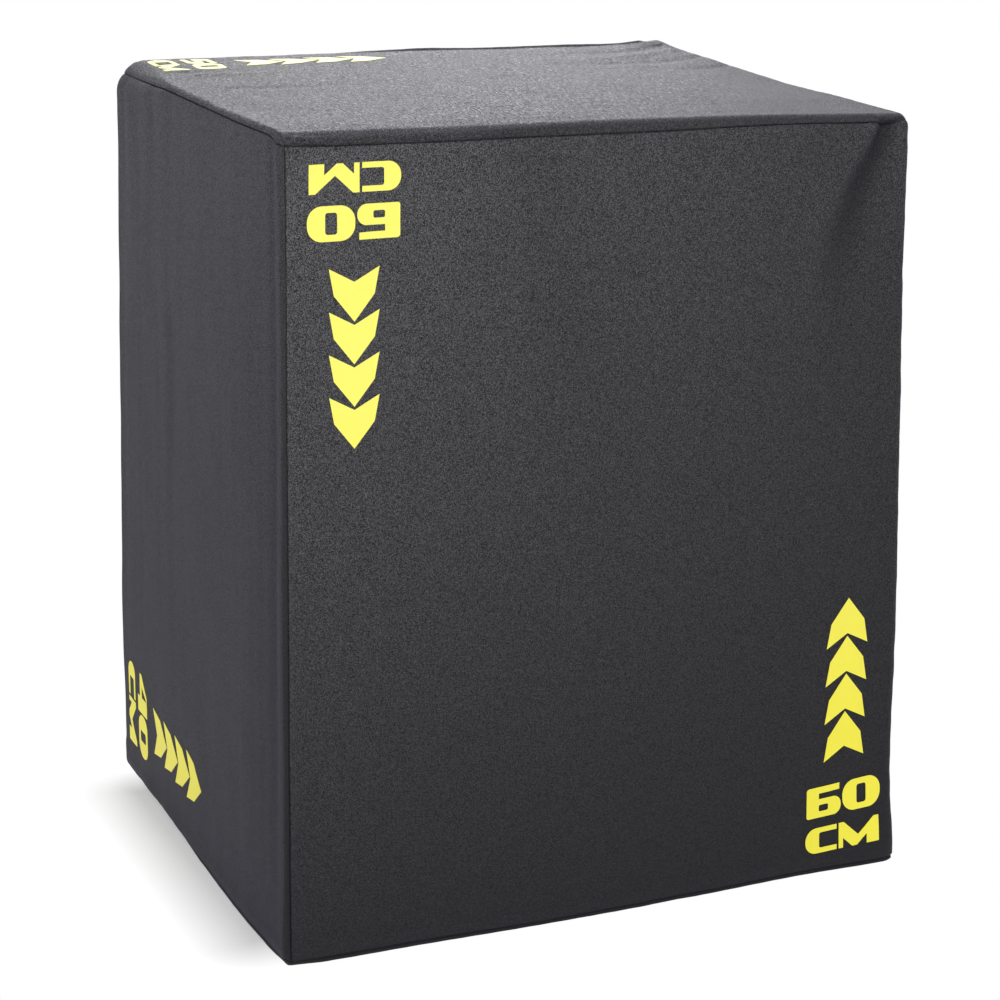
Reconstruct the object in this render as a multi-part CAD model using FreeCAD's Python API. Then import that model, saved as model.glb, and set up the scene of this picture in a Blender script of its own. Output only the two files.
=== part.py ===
import FreeCAD
import Part
import os

# Soft jump box: a finger-jointed plywood core wrapped in foam boards, in a sewn cover whose rear panel
# is a zipped flap. Millimetres. X runs left to right, Y from front to rear, Z up.
# The origin is the centre of the face that stands on the floor.

# Overall box, measured over the cover
box_width = 500.0
box_depth = 400.0
box_height = 600.0

# Cover fabric
fabric_thickness = 1.0
top_edge_radius = 8.0
side_edge_radius = 6.0
bottom_edge_radius = 8.0
seam_set = 1.0              # a seam lies this far past the end of a rounded edge
bottom_seam_share = 0.5     # height of the bottom seam, as a share of the bottom edge's radius
cover_ease = 0.3            # gap between the cover and the foam

# Foam boards and plywood core
foam_thickness = 30.0
ply_thickness = 12.0
finger_pitch = 60.0
tenon_length = 60.0
tenon_place_share = 0.25    # distance of a tenon from the brace's middle, as a share of the brace's length

# Countersunk wood screws through the fingers
screw_length = 38.0
screw_shank_radius = 2.0
screw_head_radius = 4.0
screw_head_height = 2.6
screw_point_length = 6.0
screw_point_radius = 0.4
screw_clearance = 0.1
screw_sides = 8             # the many small screws are drawn with flats

# Zip tapes, coils and stops
tape_half_width = 15.0
tape_thickness = 0.7
tape_clearance = 0.2
coil_gap = 1.6
coil_width = 2.6
coil_height = 2.6
coil_round_share = 0.3      # rounding of the coil, as a share of its width
stop_length = 4.0

# Zip slider, its crown and its pull
slider_length = 16.0
slider_flare = 1.2          # how far the shoulders stand out past the tail, each side
slider_flare_share = 0.25   # where the plates are widest, as a share of the slider's length
slider_stop_gap = 2.0
slider_clearance = 0.3      # between the slider and the tape or coil that it runs on
outer_plate_thickness = 1.4
inner_plate_thickness = 1.2
plate_chamfer = 0.4
lip_thickness = 0.8
lip_clearance = 0.7
neck_clearance = 0.3
neck_length = 4.0
neck_set_back = 1.5
crown_length = 9.0
crown_width = 2.0
crown_thickness = 0.9
crown_inner_round = 0.3
pull_bar_radius = 0.7
pull_bar_clearance = 0.2
pull_length = 18.0
pull_width = 8.0
pull_arm_width = 1.2
pull_arm_clearance = 0.4
pull_window_clearance = 1.5
pull_shoulder = 3.0
pull_round = 2.5
pull_grip_width = 2.6
pull_grip_length = 5.0
pull_edge_margin = 10.0     # from the tip of the pull to the box's right face

# Zipped opening in the rear face
gap_clearance = 0.5         # between the slider and the fabric on each side of it
hem_margin = 1.0            # flat fabric past the tape, before the rounded edge starts
tape_inner_radius = 7.0     # where the tape turns a corner
hinge_clearance = 0.5       # beside the seam that the flap swings on
hinge_pull_gap = 6.0        # from that seam to the pull's tip, when it is turned over
end_gap = 3.0               # from that seam to the parked end's tape and coil
flap_end_gap = 1.5          # from that seam to the ends of the other tapes and coils
rear_clearance = 0.6        # between the slider and the foam

overrun = 5.0               # how far a cutting shape runs past the surface that it cuts
touching = 1e-6             # two points nearer than this are the same point

# Faces of the cover
half_width = box_width / 2
half_depth = box_depth / 2

# Seams: the top panel turns down over its edges, each wall panel turns one corner
side_seam = side_edge_radius + seam_set
top_seam_z = box_height - top_edge_radius - seam_set
bottom_seam_z = bottom_edge_radius * bottom_seam_share

# Levels along Y at the rear face, from the outermost to the foam
coil_offset = (coil_gap + coil_width) / 2
tape_outer_y = half_depth - fabric_thickness - tape_clearance
tape_inner_y = tape_outer_y - tape_thickness
coil_outer_y = tape_outer_y + coil_height
inner_plate_y = tape_inner_y - slider_clearance
outer_plate_y = coil_outer_y + slider_clearance
crown_base_y = outer_plate_y + outer_plate_thickness
crown_clear = 2 * (pull_bar_radius + pull_bar_clearance)
pull_axis_y = crown_base_y + crown_clear / 2
foam_rear_y = inner_plate_y - inner_plate_thickness - rear_clearance

# Foam and core, as lowest and highest corners
foam_inset = fabric_thickness + cover_ease
foam_low = [-half_width + foam_inset, -half_depth + foam_inset, foam_inset]
foam_high = [half_width - foam_inset, foam_rear_y, box_height - foam_inset]
core_low = [value + foam_thickness for value in foam_low]
core_high = [value - foam_thickness for value in foam_high]
core_middle = [(low + high) / 2 for low, high in zip(core_low, core_high)]

# Slider's widths, and the width between the two fabric edges along the zip
slider_tail_width = coil_gap + 2 * (coil_width + lip_clearance + lip_thickness)
slider_nose_width = slider_tail_width + 2 * slider_flare
zip_gap = slider_nose_width + 2 * gap_clearance

# Middle line of the zip, as near to the box's edges as its tape lets it lie flat
zip_reach = tape_half_width + hem_margin
zip_left = -half_width + side_edge_radius + zip_reach
zip_top = box_height - top_edge_radius - zip_reach
zip_bottom = bottom_edge_radius + zip_reach
zip_corner_radius = tape_half_width + tape_inner_radius

# Parked slider, past the seam that the flap swings on
slider_x = half_width - pull_edge_margin - pull_length
hinge_x = slider_x - pull_length - hinge_pull_gap
park_end = slider_x + slider_length / 2 + slider_stop_gap + stop_length

X_AXIS, Y_AXIS, Z_AXIS = range(3)


def vector(values):
    return FreeCAD.Vector(*values)


def box(low, high):
    size = [end - start for start, end in zip(low, high)]
    return Part.makeBox(*size, vector(low))


def plane_point(axis, u, v, level):
    """A point from its place in the plane across an axis: u and v follow the other two axes in order."""
    values = [u, v]
    values.insert(axis, level)
    return vector(values)


def line(start, end):
    return Part.LineSegment(start, end).toShape()


def arc(start, middle, end):
    return Part.Arc(start, middle, end).toShape()


def prism(axis, edges, start, end):
    """A closed outline drawn at the level start, drawn out along an axis to the level end."""
    travel = [0, 0, 0]
    travel[axis] = end - start
    return Part.Face(Part.Wire(edges)).extrude(vector(travel))


def rounded_outline(axis, low, high, radii, level):
    """A rectangle in the plane across an axis. radii follow its corners anticlockwise from the lowest."""
    corners = [(low[0], low[1]), (high[0], low[1]), (high[0], high[1]), (low[0], high[1])]
    inward = [(1, 1), (-1, 1), (-1, -1), (1, -1)]
    diagonal = 1 - 0.5 ** 0.5
    edges = []
    points = []
    for place, ((u, v), (du, dv), radius) in enumerate(zip(corners, inward, radii)):
        along_u = plane_point(axis, u + du * radius, v, level)
        along_v = plane_point(axis, u, v + dv * radius, level)
        first, last = (along_v, along_u) if place % 2 == 0 else (along_u, along_v)
        if radius:
            middle = plane_point(axis, u + du * radius * diagonal, v + dv * radius * diagonal, level)
            edges.append(arc(first, middle, last))
        points.append((first, last))
    for place in range(len(points)):
        start, end = points[place - 1][1], points[place][0]
        if start.distanceToPoint(end) > touching:
            edges.append(line(start, end))
    return Part.__sortEdges__(edges)


def rounded_block(low, high, inset):
    """A box whose edges are rounded by the cover's radii, less an inset."""
    side = side_edge_radius - inset
    top = top_edge_radius - inset
    bottom = bottom_edge_radius - inset
    upright = [bottom, bottom, top, top]
    plan = rounded_outline(Z_AXIS, low[:2], high[:2], [side] * 4, low[Z_AXIS])
    front = rounded_outline(Y_AXIS, [low[0], low[2]], [high[0], high[2]], upright, low[Y_AXIS])
    profile = rounded_outline(X_AXIS, low[1:], high[1:], upright, low[X_AXIS])
    block = prism(Z_AXIS, plan, low[Z_AXIS], high[Z_AXIS])
    block = block.common(prism(Y_AXIS, front, low[Y_AXIS], high[Y_AXIS]))
    return block.common(prism(X_AXIS, profile, low[X_AXIS], high[X_AXIS]))


def one_solid(shape):
    """The single solid of a boolean's result, without leftover face splits."""
    shape = shape.removeSplitter()
    if len(shape.Solids) != 1:
        raise ValueError(f"expected one solid, got {len(shape.Solids)}")
    return shape.Solids[0]


# Plywood core

# Panels by name: the axis that they lie across, and whether they are at its high end
core_panels = {
    "core_front": (Y_AXIS, False),
    "core_back": (Y_AXIS, True),
    "core_left": (X_AXIS, False),
    "core_right": (X_AXIS, True),
    "core_bottom": (Z_AXIS, False),
    "core_top": (Z_AXIS, True),
}
# At a corner the earlier of two panels has the first and last finger
finger_order = [Y_AXIS, X_AXIS, Z_AXIS]


def ply_range(axis, high_end):
    """Where the panel at one end of an axis lies along it."""
    if high_end:
        return core_high[axis] - ply_thickness, core_high[axis]
    return core_low[axis], core_low[axis] + ply_thickness


def finger_ranges(axis):
    """The fingers of a core edge that runs along an axis, between the corner blocks: an odd number."""
    low = core_low[axis] + ply_thickness
    high = core_high[axis] - ply_thickness
    count = 2 * int((high - low) / (2 * finger_pitch)) + 1
    step = (high - low) / count
    return [(low + step * place, low + step * (place + 1)) for place in range(count)]


def bar(ranges):
    """A box from its range along each axis."""
    return box([ranges[axis][0] for axis in range(3)], [ranges[axis][1] for axis in range(3)])


def core_panel(axis, high_end):
    """A plywood panel with its share of the fingers cut along each edge."""
    ranges = {other: (core_low[other], core_high[other]) for other in range(3)}
    ranges[axis] = ply_range(axis, high_end)
    panel = bar(ranges)
    cuts = []
    across = [other for other in range(3) if other != axis]
    for other, along in (across, across[::-1]):
        keeps_even = finger_order.index(axis) < finger_order.index(other)
        for end in (False, True):
            edge = {axis: ranges[axis], other: ply_range(other, end)}
            for place, span in enumerate(finger_ranges(along)):
                if (place % 2 == 0) != keeps_even:
                    cuts.append(bar({**edge, along: span}))
            if axis != finger_order[0]:
                cuts += [bar({**edge, along: ply_range(along, far)}) for far in (False, True)]
    return panel.cut(cuts)


def brace_tenons(axis, along, across):
    """The through tenons at both ends of a brace along one axis, placed each side of its middle on another."""
    reach = (core_high[across] - core_low[across]) * tenon_place_share
    for high_end in (False, True):
        for side in (-1, 1):
            middle = core_middle[across] + side * reach
            yield bar({
                along: ply_range(along, high_end),
                across: (middle - tenon_length / 2, middle + tenon_length / 2),
                axis: brace_range(axis),
            })


def brace_range(axis):
    """Where a brace lies along the axis that it is thin on."""
    return core_middle[axis] - ply_thickness / 2, core_middle[axis] + ply_thickness / 2


def brace(axis, slot_from_top):
    """An upright inner panel across the core, half-lapped with the other one, with through tenons."""
    along = Y_AXIS if axis == X_AXIS else X_AXIS
    inside = {other: (core_low[other] + ply_thickness, core_high[other] - ply_thickness) for other in range(3)}
    panel = bar({**inside, axis: brace_range(axis)})
    tenons = [*brace_tenons(axis, along, Z_AXIS), *brace_tenons(axis, Z_AXIS, along)]
    low, high = inside[Z_AXIS]
    slot_z = (core_middle[Z_AXIS], high + overrun) if slot_from_top else (low - overrun, core_middle[Z_AXIS])
    slot = bar({Z_AXIS: slot_z, along: brace_range(along), axis: inside[axis]})
    return panel.fuse(tenons).cut(slot), tenons


def screw_shape(clearance):
    """A countersunk wood screw along +Z, its head's face at the origin, grown by a clearance."""
    length = screw_length + clearance
    steps = [
        (screw_head_radius, 0),
        (screw_shank_radius, screw_head_height),
        (screw_shank_radius, length - screw_point_length),
        (screw_point_radius, length),
    ]
    rings = []
    for radius, depth in steps:
        corner = vector([radius + clearance, 0, depth])
        turns = [FreeCAD.Rotation(vector([0, 0, 1]), 360 * side / screw_sides) for side in range(screw_sides)]
        points = [turn.multVec(corner) for turn in turns]
        rings.append(Part.makePolygon([*points, points[0]]))
    return Part.makeLoft(rings, True, True)


def screw_places():
    """Where each screw's head lies and the way it points: through a finger, into the edge behind it."""
    for order, axis in enumerate(finger_order):
        for other in finger_order[order + 1:]:
            along = 3 - axis - other
            fingers = finger_ranges(along)
            for high_end in (False, True):
                for far_end in (False, True):
                    for start, end in fingers[2:-2:2]:
                        place = [0, 0, 0]
                        place[axis] = core_high[axis] if high_end else core_low[axis]
                        place[other] = sum(ply_range(other, far_end)) / 2
                        place[along] = (start + end) / 2
                        way = [0, 0, 0]
                        way[axis] = -1 if high_end else 1
                        yield place, way


def placed_screws(clearance):
    shape = screw_shape(clearance)
    screws = []
    for place, way in screw_places():
        turn = FreeCAD.Rotation(vector([0, 0, 1]), vector(way))
        screws.append(shape.transformed(FreeCAD.Placement(vector(place), turn).toMatrix()))
    return screws


def make_core():
    brace_wide, wide_tenons = brace(Y_AXIS, True)
    brace_deep, deep_tenons = brace(X_AXIS, False)
    screw_holes = placed_screws(screw_clearance)
    parts = {}
    for name, (axis, high_end) in core_panels.items():
        panel = core_panel(axis, high_end)
        cutters = [*wide_tenons, *deep_tenons, *screw_holes]
        near = [cutter for cutter in cutters if cutter.BoundBox.intersect(panel.BoundBox)]
        parts[name] = one_solid(panel.cut(near))
    parts["brace_wide"] = one_solid(brace_wide)
    parts["brace_deep"] = one_solid(brace_deep)
    parts["core_screws"] = Part.makeCompound(placed_screws(0))
    return parts


# Foam boards: top and bottom cover the whole plan, front and back lie between them, sides close the rest

def make_foam():
    block = rounded_block(foam_low, foam_high, foam_inset)
    inner = {axis: (core_low[axis], core_high[axis]) for axis in range(3)}
    outer = {axis: (foam_low[axis], foam_high[axis]) for axis in range(3)}

    def ends(axis):
        return (foam_low[axis], core_low[axis]), (core_high[axis], foam_high[axis])

    bottom, top = ends(Z_AXIS)
    front, back = ends(Y_AXIS)
    left, right = ends(X_AXIS)
    middle = {Z_AXIS: inner[Z_AXIS]}
    slabs = {
        "foam_bottom": {**outer, Z_AXIS: bottom},
        "foam_top": {**outer, Z_AXIS: top},
        "foam_front": {**outer, **middle, Y_AXIS: front},
        "foam_back": {**outer, **middle, Y_AXIS: back},
        "foam_left": {**inner, X_AXIS: left},
        "foam_right": {**inner, X_AXIS: right},
    }
    return {name: one_solid(block.common(bar(ranges))) for name, ranges in slabs.items()}


# Sewn cover

def rear_opening():
    """The hole that the zip closes: the flap's field with its zip gap, and the parked end's slot."""
    edge = zip_gap / 2
    corner = zip_corner_radius + edge
    start = half_depth - fabric_thickness - overrun
    end = half_depth + overrun
    low = [zip_left - edge, zip_bottom - edge]
    high = [hinge_x + hinge_clearance, zip_top + edge]
    field = prism(Y_AXIS, rounded_outline(Y_AXIS, low, high, [corner, 0, 0, corner], start), start, end)
    slot = box([hinge_x, start, zip_top - edge], [park_end, end, zip_top + edge])
    return field.fuse(slot)


def make_cover():
    low = [-half_width, -half_depth, 0]
    high = [half_width, half_depth, box_height]
    inner_low = [value + fabric_thickness for value in low]
    inner_high = [value - fabric_thickness for value in high]
    shell = rounded_block(low, high, 0).cut(rounded_block(inner_low, inner_high, fabric_thickness))
    shell = shell.cut(rear_opening())

    past = [value + overrun for value in high]
    before = [value - overrun for value in low]
    rear_y = half_depth - side_seam
    seam_x = half_width - side_seam
    above = box([before[0], before[1], top_seam_z], past)
    above = above.fuse(box([-seam_x, rear_y, zip_top + zip_gap / 2], [seam_x, past[1], past[2]]))
    below = box(before, [past[0], past[1], bottom_seam_z])
    below = below.fuse(box([-seam_x, rear_y, before[2]], [seam_x, past[1], zip_bottom - zip_gap / 2]))
    left = box(before, [-seam_x, past[1], past[2]])
    left = left.fuse(box([before[0], rear_y, before[2]], [0, past[1], past[2]]))
    right = box([0, rear_y, before[2]], past)
    right = right.fuse(box([seam_x, side_seam - half_depth, before[2]], past))

    walls = shell.cut([above, below])
    return {
        "cover_top": one_solid(shell.common(above)),
        "cover_bottom": one_solid(shell.common(below)),
        "cover_left": one_solid(walls.common(left)),
        "cover_right": one_solid(walls.common(right)),
        "cover_front": one_solid(walls.cut([left, right])),
        "rear_flap": rear_flap(),
    }


def rear_flap():
    edge = zip_gap / 2
    corner = zip_corner_radius - edge
    start = half_depth - fabric_thickness
    low = [zip_left + edge, zip_bottom + edge]
    high = [hinge_x, zip_top - edge]
    return prism(Y_AXIS, rounded_outline(Y_AXIS, low, high, [corner, 0, 0, corner], start), start, half_depth)


# Zip

def zip_path(offset, top_end, bottom_end, level):
    """The zip's line, moved outwards by an offset: along the top, down the left side and along the bottom."""
    radius = zip_corner_radius + offset
    left, top, bottom = zip_left - offset, zip_top + offset, zip_bottom - offset
    shift = radius * (1 - 0.5 ** 0.5)

    def point(x, z):
        return vector([x, level, z])

    return [
        line(point(top_end, top), point(left + radius, top)),
        arc(point(left + radius, top), point(left + shift, top - shift), point(left, top - radius)),
        line(point(left, top - radius), point(left, bottom + radius)),
        arc(point(left, bottom + radius), point(left + shift, bottom + shift), point(left + radius, bottom)),
        line(point(left + radius, bottom), point(bottom_end, bottom)),
    ]


def zip_tape(side, top_end, bottom_end):
    """A flat tape along the zip, outside its middle line for side 1 and inside it for side -1."""
    near = zip_path(side * coil_gap / 2, top_end, bottom_end, tape_inner_y)
    far = zip_path(side * tape_half_width, top_end, bottom_end, tape_inner_y)
    ends = [line(near[0].firstVertex().Point, far[0].firstVertex().Point),
            line(near[-1].lastVertex().Point, far[-1].lastVertex().Point)]
    return prism(Y_AXIS, Part.__sortEdges__(near + far + ends), tape_inner_y, tape_outer_y)


def coil_outline(x, middle_z):
    """The coil's section across a run along X: flat on the tape, rounded outside."""
    low, high = middle_z - coil_width / 2, middle_z + coil_width / 2
    rounding = coil_width * coil_round_share
    section = rounded_outline(X_AXIS, [tape_outer_y, low], [coil_outer_y, high], [0, rounding, rounding, 0], x)
    return Part.Wire(section)


def zip_coil(side, top_end, bottom_end):
    """One coil along its tape's edge, as a bead swept along the zip."""
    offset = side * coil_offset
    path = Part.Wire(zip_path(offset, top_end, bottom_end, tape_outer_y))
    return one_solid(path.makePipeShell([coil_outline(top_end, zip_top + offset)], True, False))


def parked_half():
    """Tape and coil of the inner half where the zip runs on past the flap's seam."""
    start = hinge_x + end_gap
    tape = box([start, tape_inner_y, zip_top - tape_half_width], [park_end, tape_outer_y, zip_top - coil_gap / 2])
    section = coil_outline(start, zip_top - coil_offset)
    coil = Part.Face(section).extrude(vector([park_end - stop_length - start, 0, 0]))
    return tape, coil


def zip_stop(x, middle_z):
    """A crimped stop that closes the end of one coil."""
    section = coil_outline(x, middle_z)
    return Part.Face(section).extrude(vector([stop_length, 0, 0]))


def make_zip():
    bottom_end = hinge_x - flap_end_gap
    top_coil_end = park_end - stop_length
    tape_end, coil_end = parked_half()
    stops = [
        zip_stop(top_coil_end, zip_top + coil_offset),
        zip_stop(top_coil_end, zip_top - coil_offset),
        zip_stop(bottom_end - stop_length, zip_bottom - coil_offset),
    ]
    coil_fixed = zip_coil(1, top_coil_end, bottom_end - stop_length)
    return {
        "zip_tape_fixed": Part.makeCompound([zip_tape(1, park_end, bottom_end), tape_end]),
        "zip_tape_flap": zip_tape(-1, bottom_end, bottom_end),
        "zip_coil_fixed": Part.makeCompound([coil_fixed, coil_end]),
        "zip_coil_flap": zip_coil(-1, bottom_end, bottom_end),
        "zip_stops": Part.makeCompound(stops),
    }


# Zip slider, drawn where it is parked: its nose points to the closed end, towards +X

def slider_plate(level, thickness):
    """A shield-shaped plate: parallel tail, flared shoulders and a round nose."""
    tail, nose = slider_x - slider_length / 2, slider_x + slider_length / 2
    flare = slider_x + slider_length * slider_flare_share
    narrow, wide = slider_tail_width / 2, slider_nose_width / 2

    def point(x, z):
        return vector([x, level, zip_top + z])

    edges = [
        line(point(tail, -narrow), point(slider_x, -narrow)),
        line(point(slider_x, -narrow), point(flare, -wide)),
        arc(point(flare, -wide), point(nose, 0), point(flare, wide)),
        line(point(flare, wide), point(slider_x, narrow)),
        line(point(slider_x, narrow), point(tail, narrow)),
        line(point(tail, narrow), point(tail, -narrow)),
    ]
    return prism(Y_AXIS, edges, level, level + thickness)


def zip_slider():
    """Two plates on a neck that divides the coils, with lips that keep the coils in."""
    outer = slider_plate(outer_plate_y, outer_plate_thickness)
    rim = [edge for edge in outer.Edges if edge.BoundBox.YMin > outer_plate_y + outer_plate_thickness / 2]
    outer = outer.makeChamfer(plate_chamfer, rim)
    inner = slider_plate(inner_plate_y - inner_plate_thickness, inner_plate_thickness)
    neck_end = slider_x + slider_length / 2 - neck_set_back
    neck_reach = coil_gap / 2 - neck_clearance
    neck = box(
        [neck_end - neck_length, inner_plate_y, zip_top - neck_reach],
        [neck_end, outer_plate_y, zip_top + neck_reach],
    )
    tail = slider_x - slider_length / 2
    lips = []
    for side in (-1, 1):
        faces = sorted([side * slider_tail_width / 2, side * (slider_tail_width / 2 - lip_thickness)])
        lips.append(box(
            [tail, tape_outer_y + slider_clearance, zip_top + faces[0]],
            [slider_x, outer_plate_y, zip_top + faces[1]],
        ))
    return one_solid(outer.fuse([inner, neck, *lips]))


def slider_crown():
    """The arch on the outer plate that the pull's bar turns under."""
    half = crown_length / 2
    inner = half - crown_thickness
    top = crown_base_y + crown_clear + crown_thickness
    low_z, high_z = zip_top - crown_width / 2, zip_top + crown_width / 2
    outer_round = crown_inner_round + crown_thickness
    outer = rounded_outline(
        Z_AXIS, [slider_x - half, crown_base_y], [slider_x + half, top],
        [0, 0, outer_round, outer_round], low_z)
    hollow = rounded_outline(
        Z_AXIS, [slider_x - inner, crown_base_y - overrun], [slider_x + inner, crown_base_y + crown_clear],
        [0, 0, crown_inner_round, crown_inner_round], low_z)
    return one_solid(prism(Z_AXIS, outer, low_z, high_z).cut(prism(Z_AXIS, hollow, low_z, high_z)))


def zip_pull():
    """A tab with a window round the crown and a bar under it, pointing to +X at rest."""
    window = crown_width / 2 + pull_arm_clearance
    arm = window + pull_arm_width
    wide = pull_width / 2
    start = pull_axis_y - pull_bar_radius
    end = pull_axis_y + pull_bar_radius
    neck_x = slider_x + crown_length / 2 + pull_window_clearance
    shoulder, tip = neck_x + pull_shoulder, slider_x + pull_length

    def point(x, z):
        return vector([x, start, zip_top + z])

    edges = [
        line(point(slider_x, -arm), point(neck_x, -arm)),
        line(point(neck_x, -arm), point(shoulder, -wide)),
        line(point(shoulder, -wide), point(tip - pull_round, -wide)),
        arc(point(tip - pull_round, -wide), point(tip, 0), point(tip - pull_round, wide)),
        line(point(tip - pull_round, wide), point(shoulder, wide)),
        line(point(shoulder, wide), point(neck_x, arm)),
        line(point(neck_x, arm), point(slider_x, arm)),
        line(point(slider_x, arm), point(slider_x, -arm)),
    ]
    tab = prism(Y_AXIS, edges, start, end)
    opening = box(
        [slider_x - overrun, start - overrun, zip_top - window],
        [neck_x, end + overrun, zip_top + window],
    )
    grip_middle = (shoulder + tip - pull_round) / 2
    grip_low = [grip_middle - pull_grip_length / 2, zip_top - pull_grip_width / 2]
    grip_high = [grip_middle + pull_grip_length / 2, zip_top + pull_grip_width / 2]
    grip = rounded_outline(Y_AXIS, grip_low, grip_high, [pull_grip_width / 2] * 4, start - overrun)
    hole = prism(Y_AXIS, grip, start - overrun, end + overrun)
    bar_base = vector([slider_x, pull_axis_y, zip_top - arm])
    pull_bar = Part.makeCylinder(pull_bar_radius, 2 * arm, bar_base, vector([0, 0, 1]))
    return one_solid(tab.cut([opening, hole]).fuse(pull_bar))


def make_slider():
    return {
        "zip_slider": zip_slider(),
        "zip_slider_crown": slider_crown(),
        "zip_pull": zip_pull(),
    }


def main():
    os.makedirs("parts", exist_ok=True)
    parts = {**make_core(), **make_foam(), **make_cover(), **make_zip(), **make_slider()}
    for name, shape in parts.items():
        shape.exportStep(f"parts/{name}.step")
        solids = len(shape.Solids)
        print(f"{name}: {solids} solid(s), {shape.Volume / 1000:.2f} cm3, valid {shape.isValid()}")
    print(f"slider travel {slider_x - (zip_left + zip_corner_radius + slider_length / 2):.2f}")
    print(f"slider at {slider_x:.2f}, hinge at {hinge_x:.2f}, zip top {zip_top:.2f}, pull axis {pull_axis_y:.2f}")


main()
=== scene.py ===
import math

import bmesh
import bpy
from mathutils import Matrix, Vector, noise
from mathutils.bvhtree import BVHTree
from mathutils.kdtree import KDTree


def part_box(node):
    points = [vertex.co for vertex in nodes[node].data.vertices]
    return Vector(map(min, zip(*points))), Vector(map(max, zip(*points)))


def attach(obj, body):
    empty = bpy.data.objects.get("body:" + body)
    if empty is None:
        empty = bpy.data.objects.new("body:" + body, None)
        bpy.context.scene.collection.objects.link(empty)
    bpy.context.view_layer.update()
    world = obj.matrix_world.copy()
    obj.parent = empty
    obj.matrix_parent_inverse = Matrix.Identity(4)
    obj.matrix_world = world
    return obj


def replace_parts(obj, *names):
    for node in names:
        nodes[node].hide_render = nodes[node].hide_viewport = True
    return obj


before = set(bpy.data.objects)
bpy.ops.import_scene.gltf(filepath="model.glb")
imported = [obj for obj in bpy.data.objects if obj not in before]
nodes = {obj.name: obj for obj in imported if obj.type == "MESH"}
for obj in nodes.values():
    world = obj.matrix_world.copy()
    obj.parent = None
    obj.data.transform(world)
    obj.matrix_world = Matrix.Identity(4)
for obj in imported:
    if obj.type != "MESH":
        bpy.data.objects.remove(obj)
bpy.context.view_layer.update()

scene = bpy.context.scene
mm = 0.001
print("frame loaded,", len(nodes), "CAD nodes")


# Small helpers

def clamp(value, low=0.0, high=1.0):
    return max(low, min(high, value))


def smooth(value):
    value = clamp(value)
    return value * value * (3 - 2 * value)


def meshFrom(name, bm):
    mesh = bpy.data.meshes.new(name)
    bm.to_mesh(mesh)
    bm.free()
    return mesh


def linkObject(name, data):
    made = bpy.data.objects.new(name, data)
    scene.collection.objects.link(made)
    return made


def addPiece(name, bm, material, body):
    mesh = meshFrom(name, bm)
    for face in mesh.polygons:
        face.use_smooth = True
    mesh.materials.append(material)
    piece = linkObject(name, mesh)
    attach(piece, body)
    return piece


def thicken(piece, thickness):
    wall = piece.modifiers.new("wall", "SOLIDIFY")
    wall.thickness = thickness
    wall.offset = -1


def sharpen(piece, degrees):
    piece.data.set_sharp_from_angle(angle=math.radians(degrees))


def boxBetween(low, high, cuts=0):
    bm = bmesh.new()
    bmesh.ops.create_cube(bm, size=1.0)
    if cuts:
        bmesh.ops.subdivide_edges(bm, edges=bm.edges[:], cuts=cuts, use_grid_fill=True)
    bmesh.ops.scale(bm, verts=bm.verts[:], vec=high - low)
    bmesh.ops.translate(bm, verts=bm.verts[:], vec=(high + low) / 2)
    return bm


def cutAcross(bm, axis, at, dist):
    # cuts everything by a plane square to an axis
    point, normal = Vector(), Vector()
    point[axis], normal[axis] = at, 1
    everything = bm.verts[:] + bm.edges[:] + bm.faces[:]
    bmesh.ops.bisect_plane(bm, geom=everything, dist=dist, plane_co=point, plane_no=normal)


def bevelEdges(bm, edges, offset, segments):
    bmesh.ops.bevel(
        bm, geom=edges, offset=offset, affect="EDGES", segments=segments, profile=0.5, material=-1)


def pointTree(points):
    tree = KDTree(len(points))
    for index, point in enumerate(points):
        tree.insert(point, index)
    tree.balance()
    return tree


# Camera at the photograph's viewing angle

camera = {
    "place": (-0.8159, -1.8047, 0.8551),
    "azimuth": 23.585,
    "elevation": 15.192,
    "roll": 0.606,
    "lens": 92.96,
    "shift": (0.04, -0.06),
}


def makeCamera(c):
    azimuth, elevation, roll = (math.radians(c[k]) for k in ("azimuth", "elevation", "roll"))
    level = math.cos(elevation)
    ahead = Vector((math.sin(azimuth) * level, math.cos(azimuth) * level, -math.sin(elevation)))
    right = Vector((math.cos(azimuth), -math.sin(azimuth), 0))
    up = right.cross(ahead)
    turnedRight = right * math.cos(roll) + up * math.sin(roll)
    turnedUp = up * math.cos(roll) - right * math.sin(roll)
    lens = bpy.data.cameras.new("photoCamera")
    lens.lens = c["lens"]
    lens.shift_x, lens.shift_y = c["shift"]
    lens.clip_end = 50
    scene.camera = linkObject("photoCamera", lens)
    facing = Matrix((turnedRight, turnedUp, -ahead)).transposed().to_4x4()
    scene.camera.matrix_world = Matrix.Translation(c["place"]) @ facing


makeCamera(camera)


# Node groups shared by the materials

def addNode(tree, kind, inputs, **settings):
    made = tree.nodes.new("ShaderNode" + kind)
    for key, value in settings.items():
        setattr(made, key, value)
    for key, value in inputs.items():
        if isinstance(value, bpy.types.NodeSocket):
            tree.links.new(value, made.inputs[key])
        else:
            made.inputs[key].default_value = value
    return made.outputs


def mathNode(tree, operation, first, second=0.0):
    return addNode(tree, "Math", {0: first, 1: second}, operation=operation)[0]


def vectorNode(tree, operation, first, second=(0, 0, 0), scale=1.0):
    return addNode(tree, "VectorMath", {0: first, 1: second, 3: scale}, operation=operation)[0]


def noiseNode(tree, vector, scale, detail, distortion=0.0):
    inputs = {"Vector": vector, "Scale": scale, "Detail": detail, "Distortion": distortion}
    return addNode(tree, "TexNoise", inputs)


def mixColour(tree, share, first, second):
    return addNode(tree, "Mix", {0: share, 6: first, 7: second}, data_type="RGBA")[2]


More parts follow.
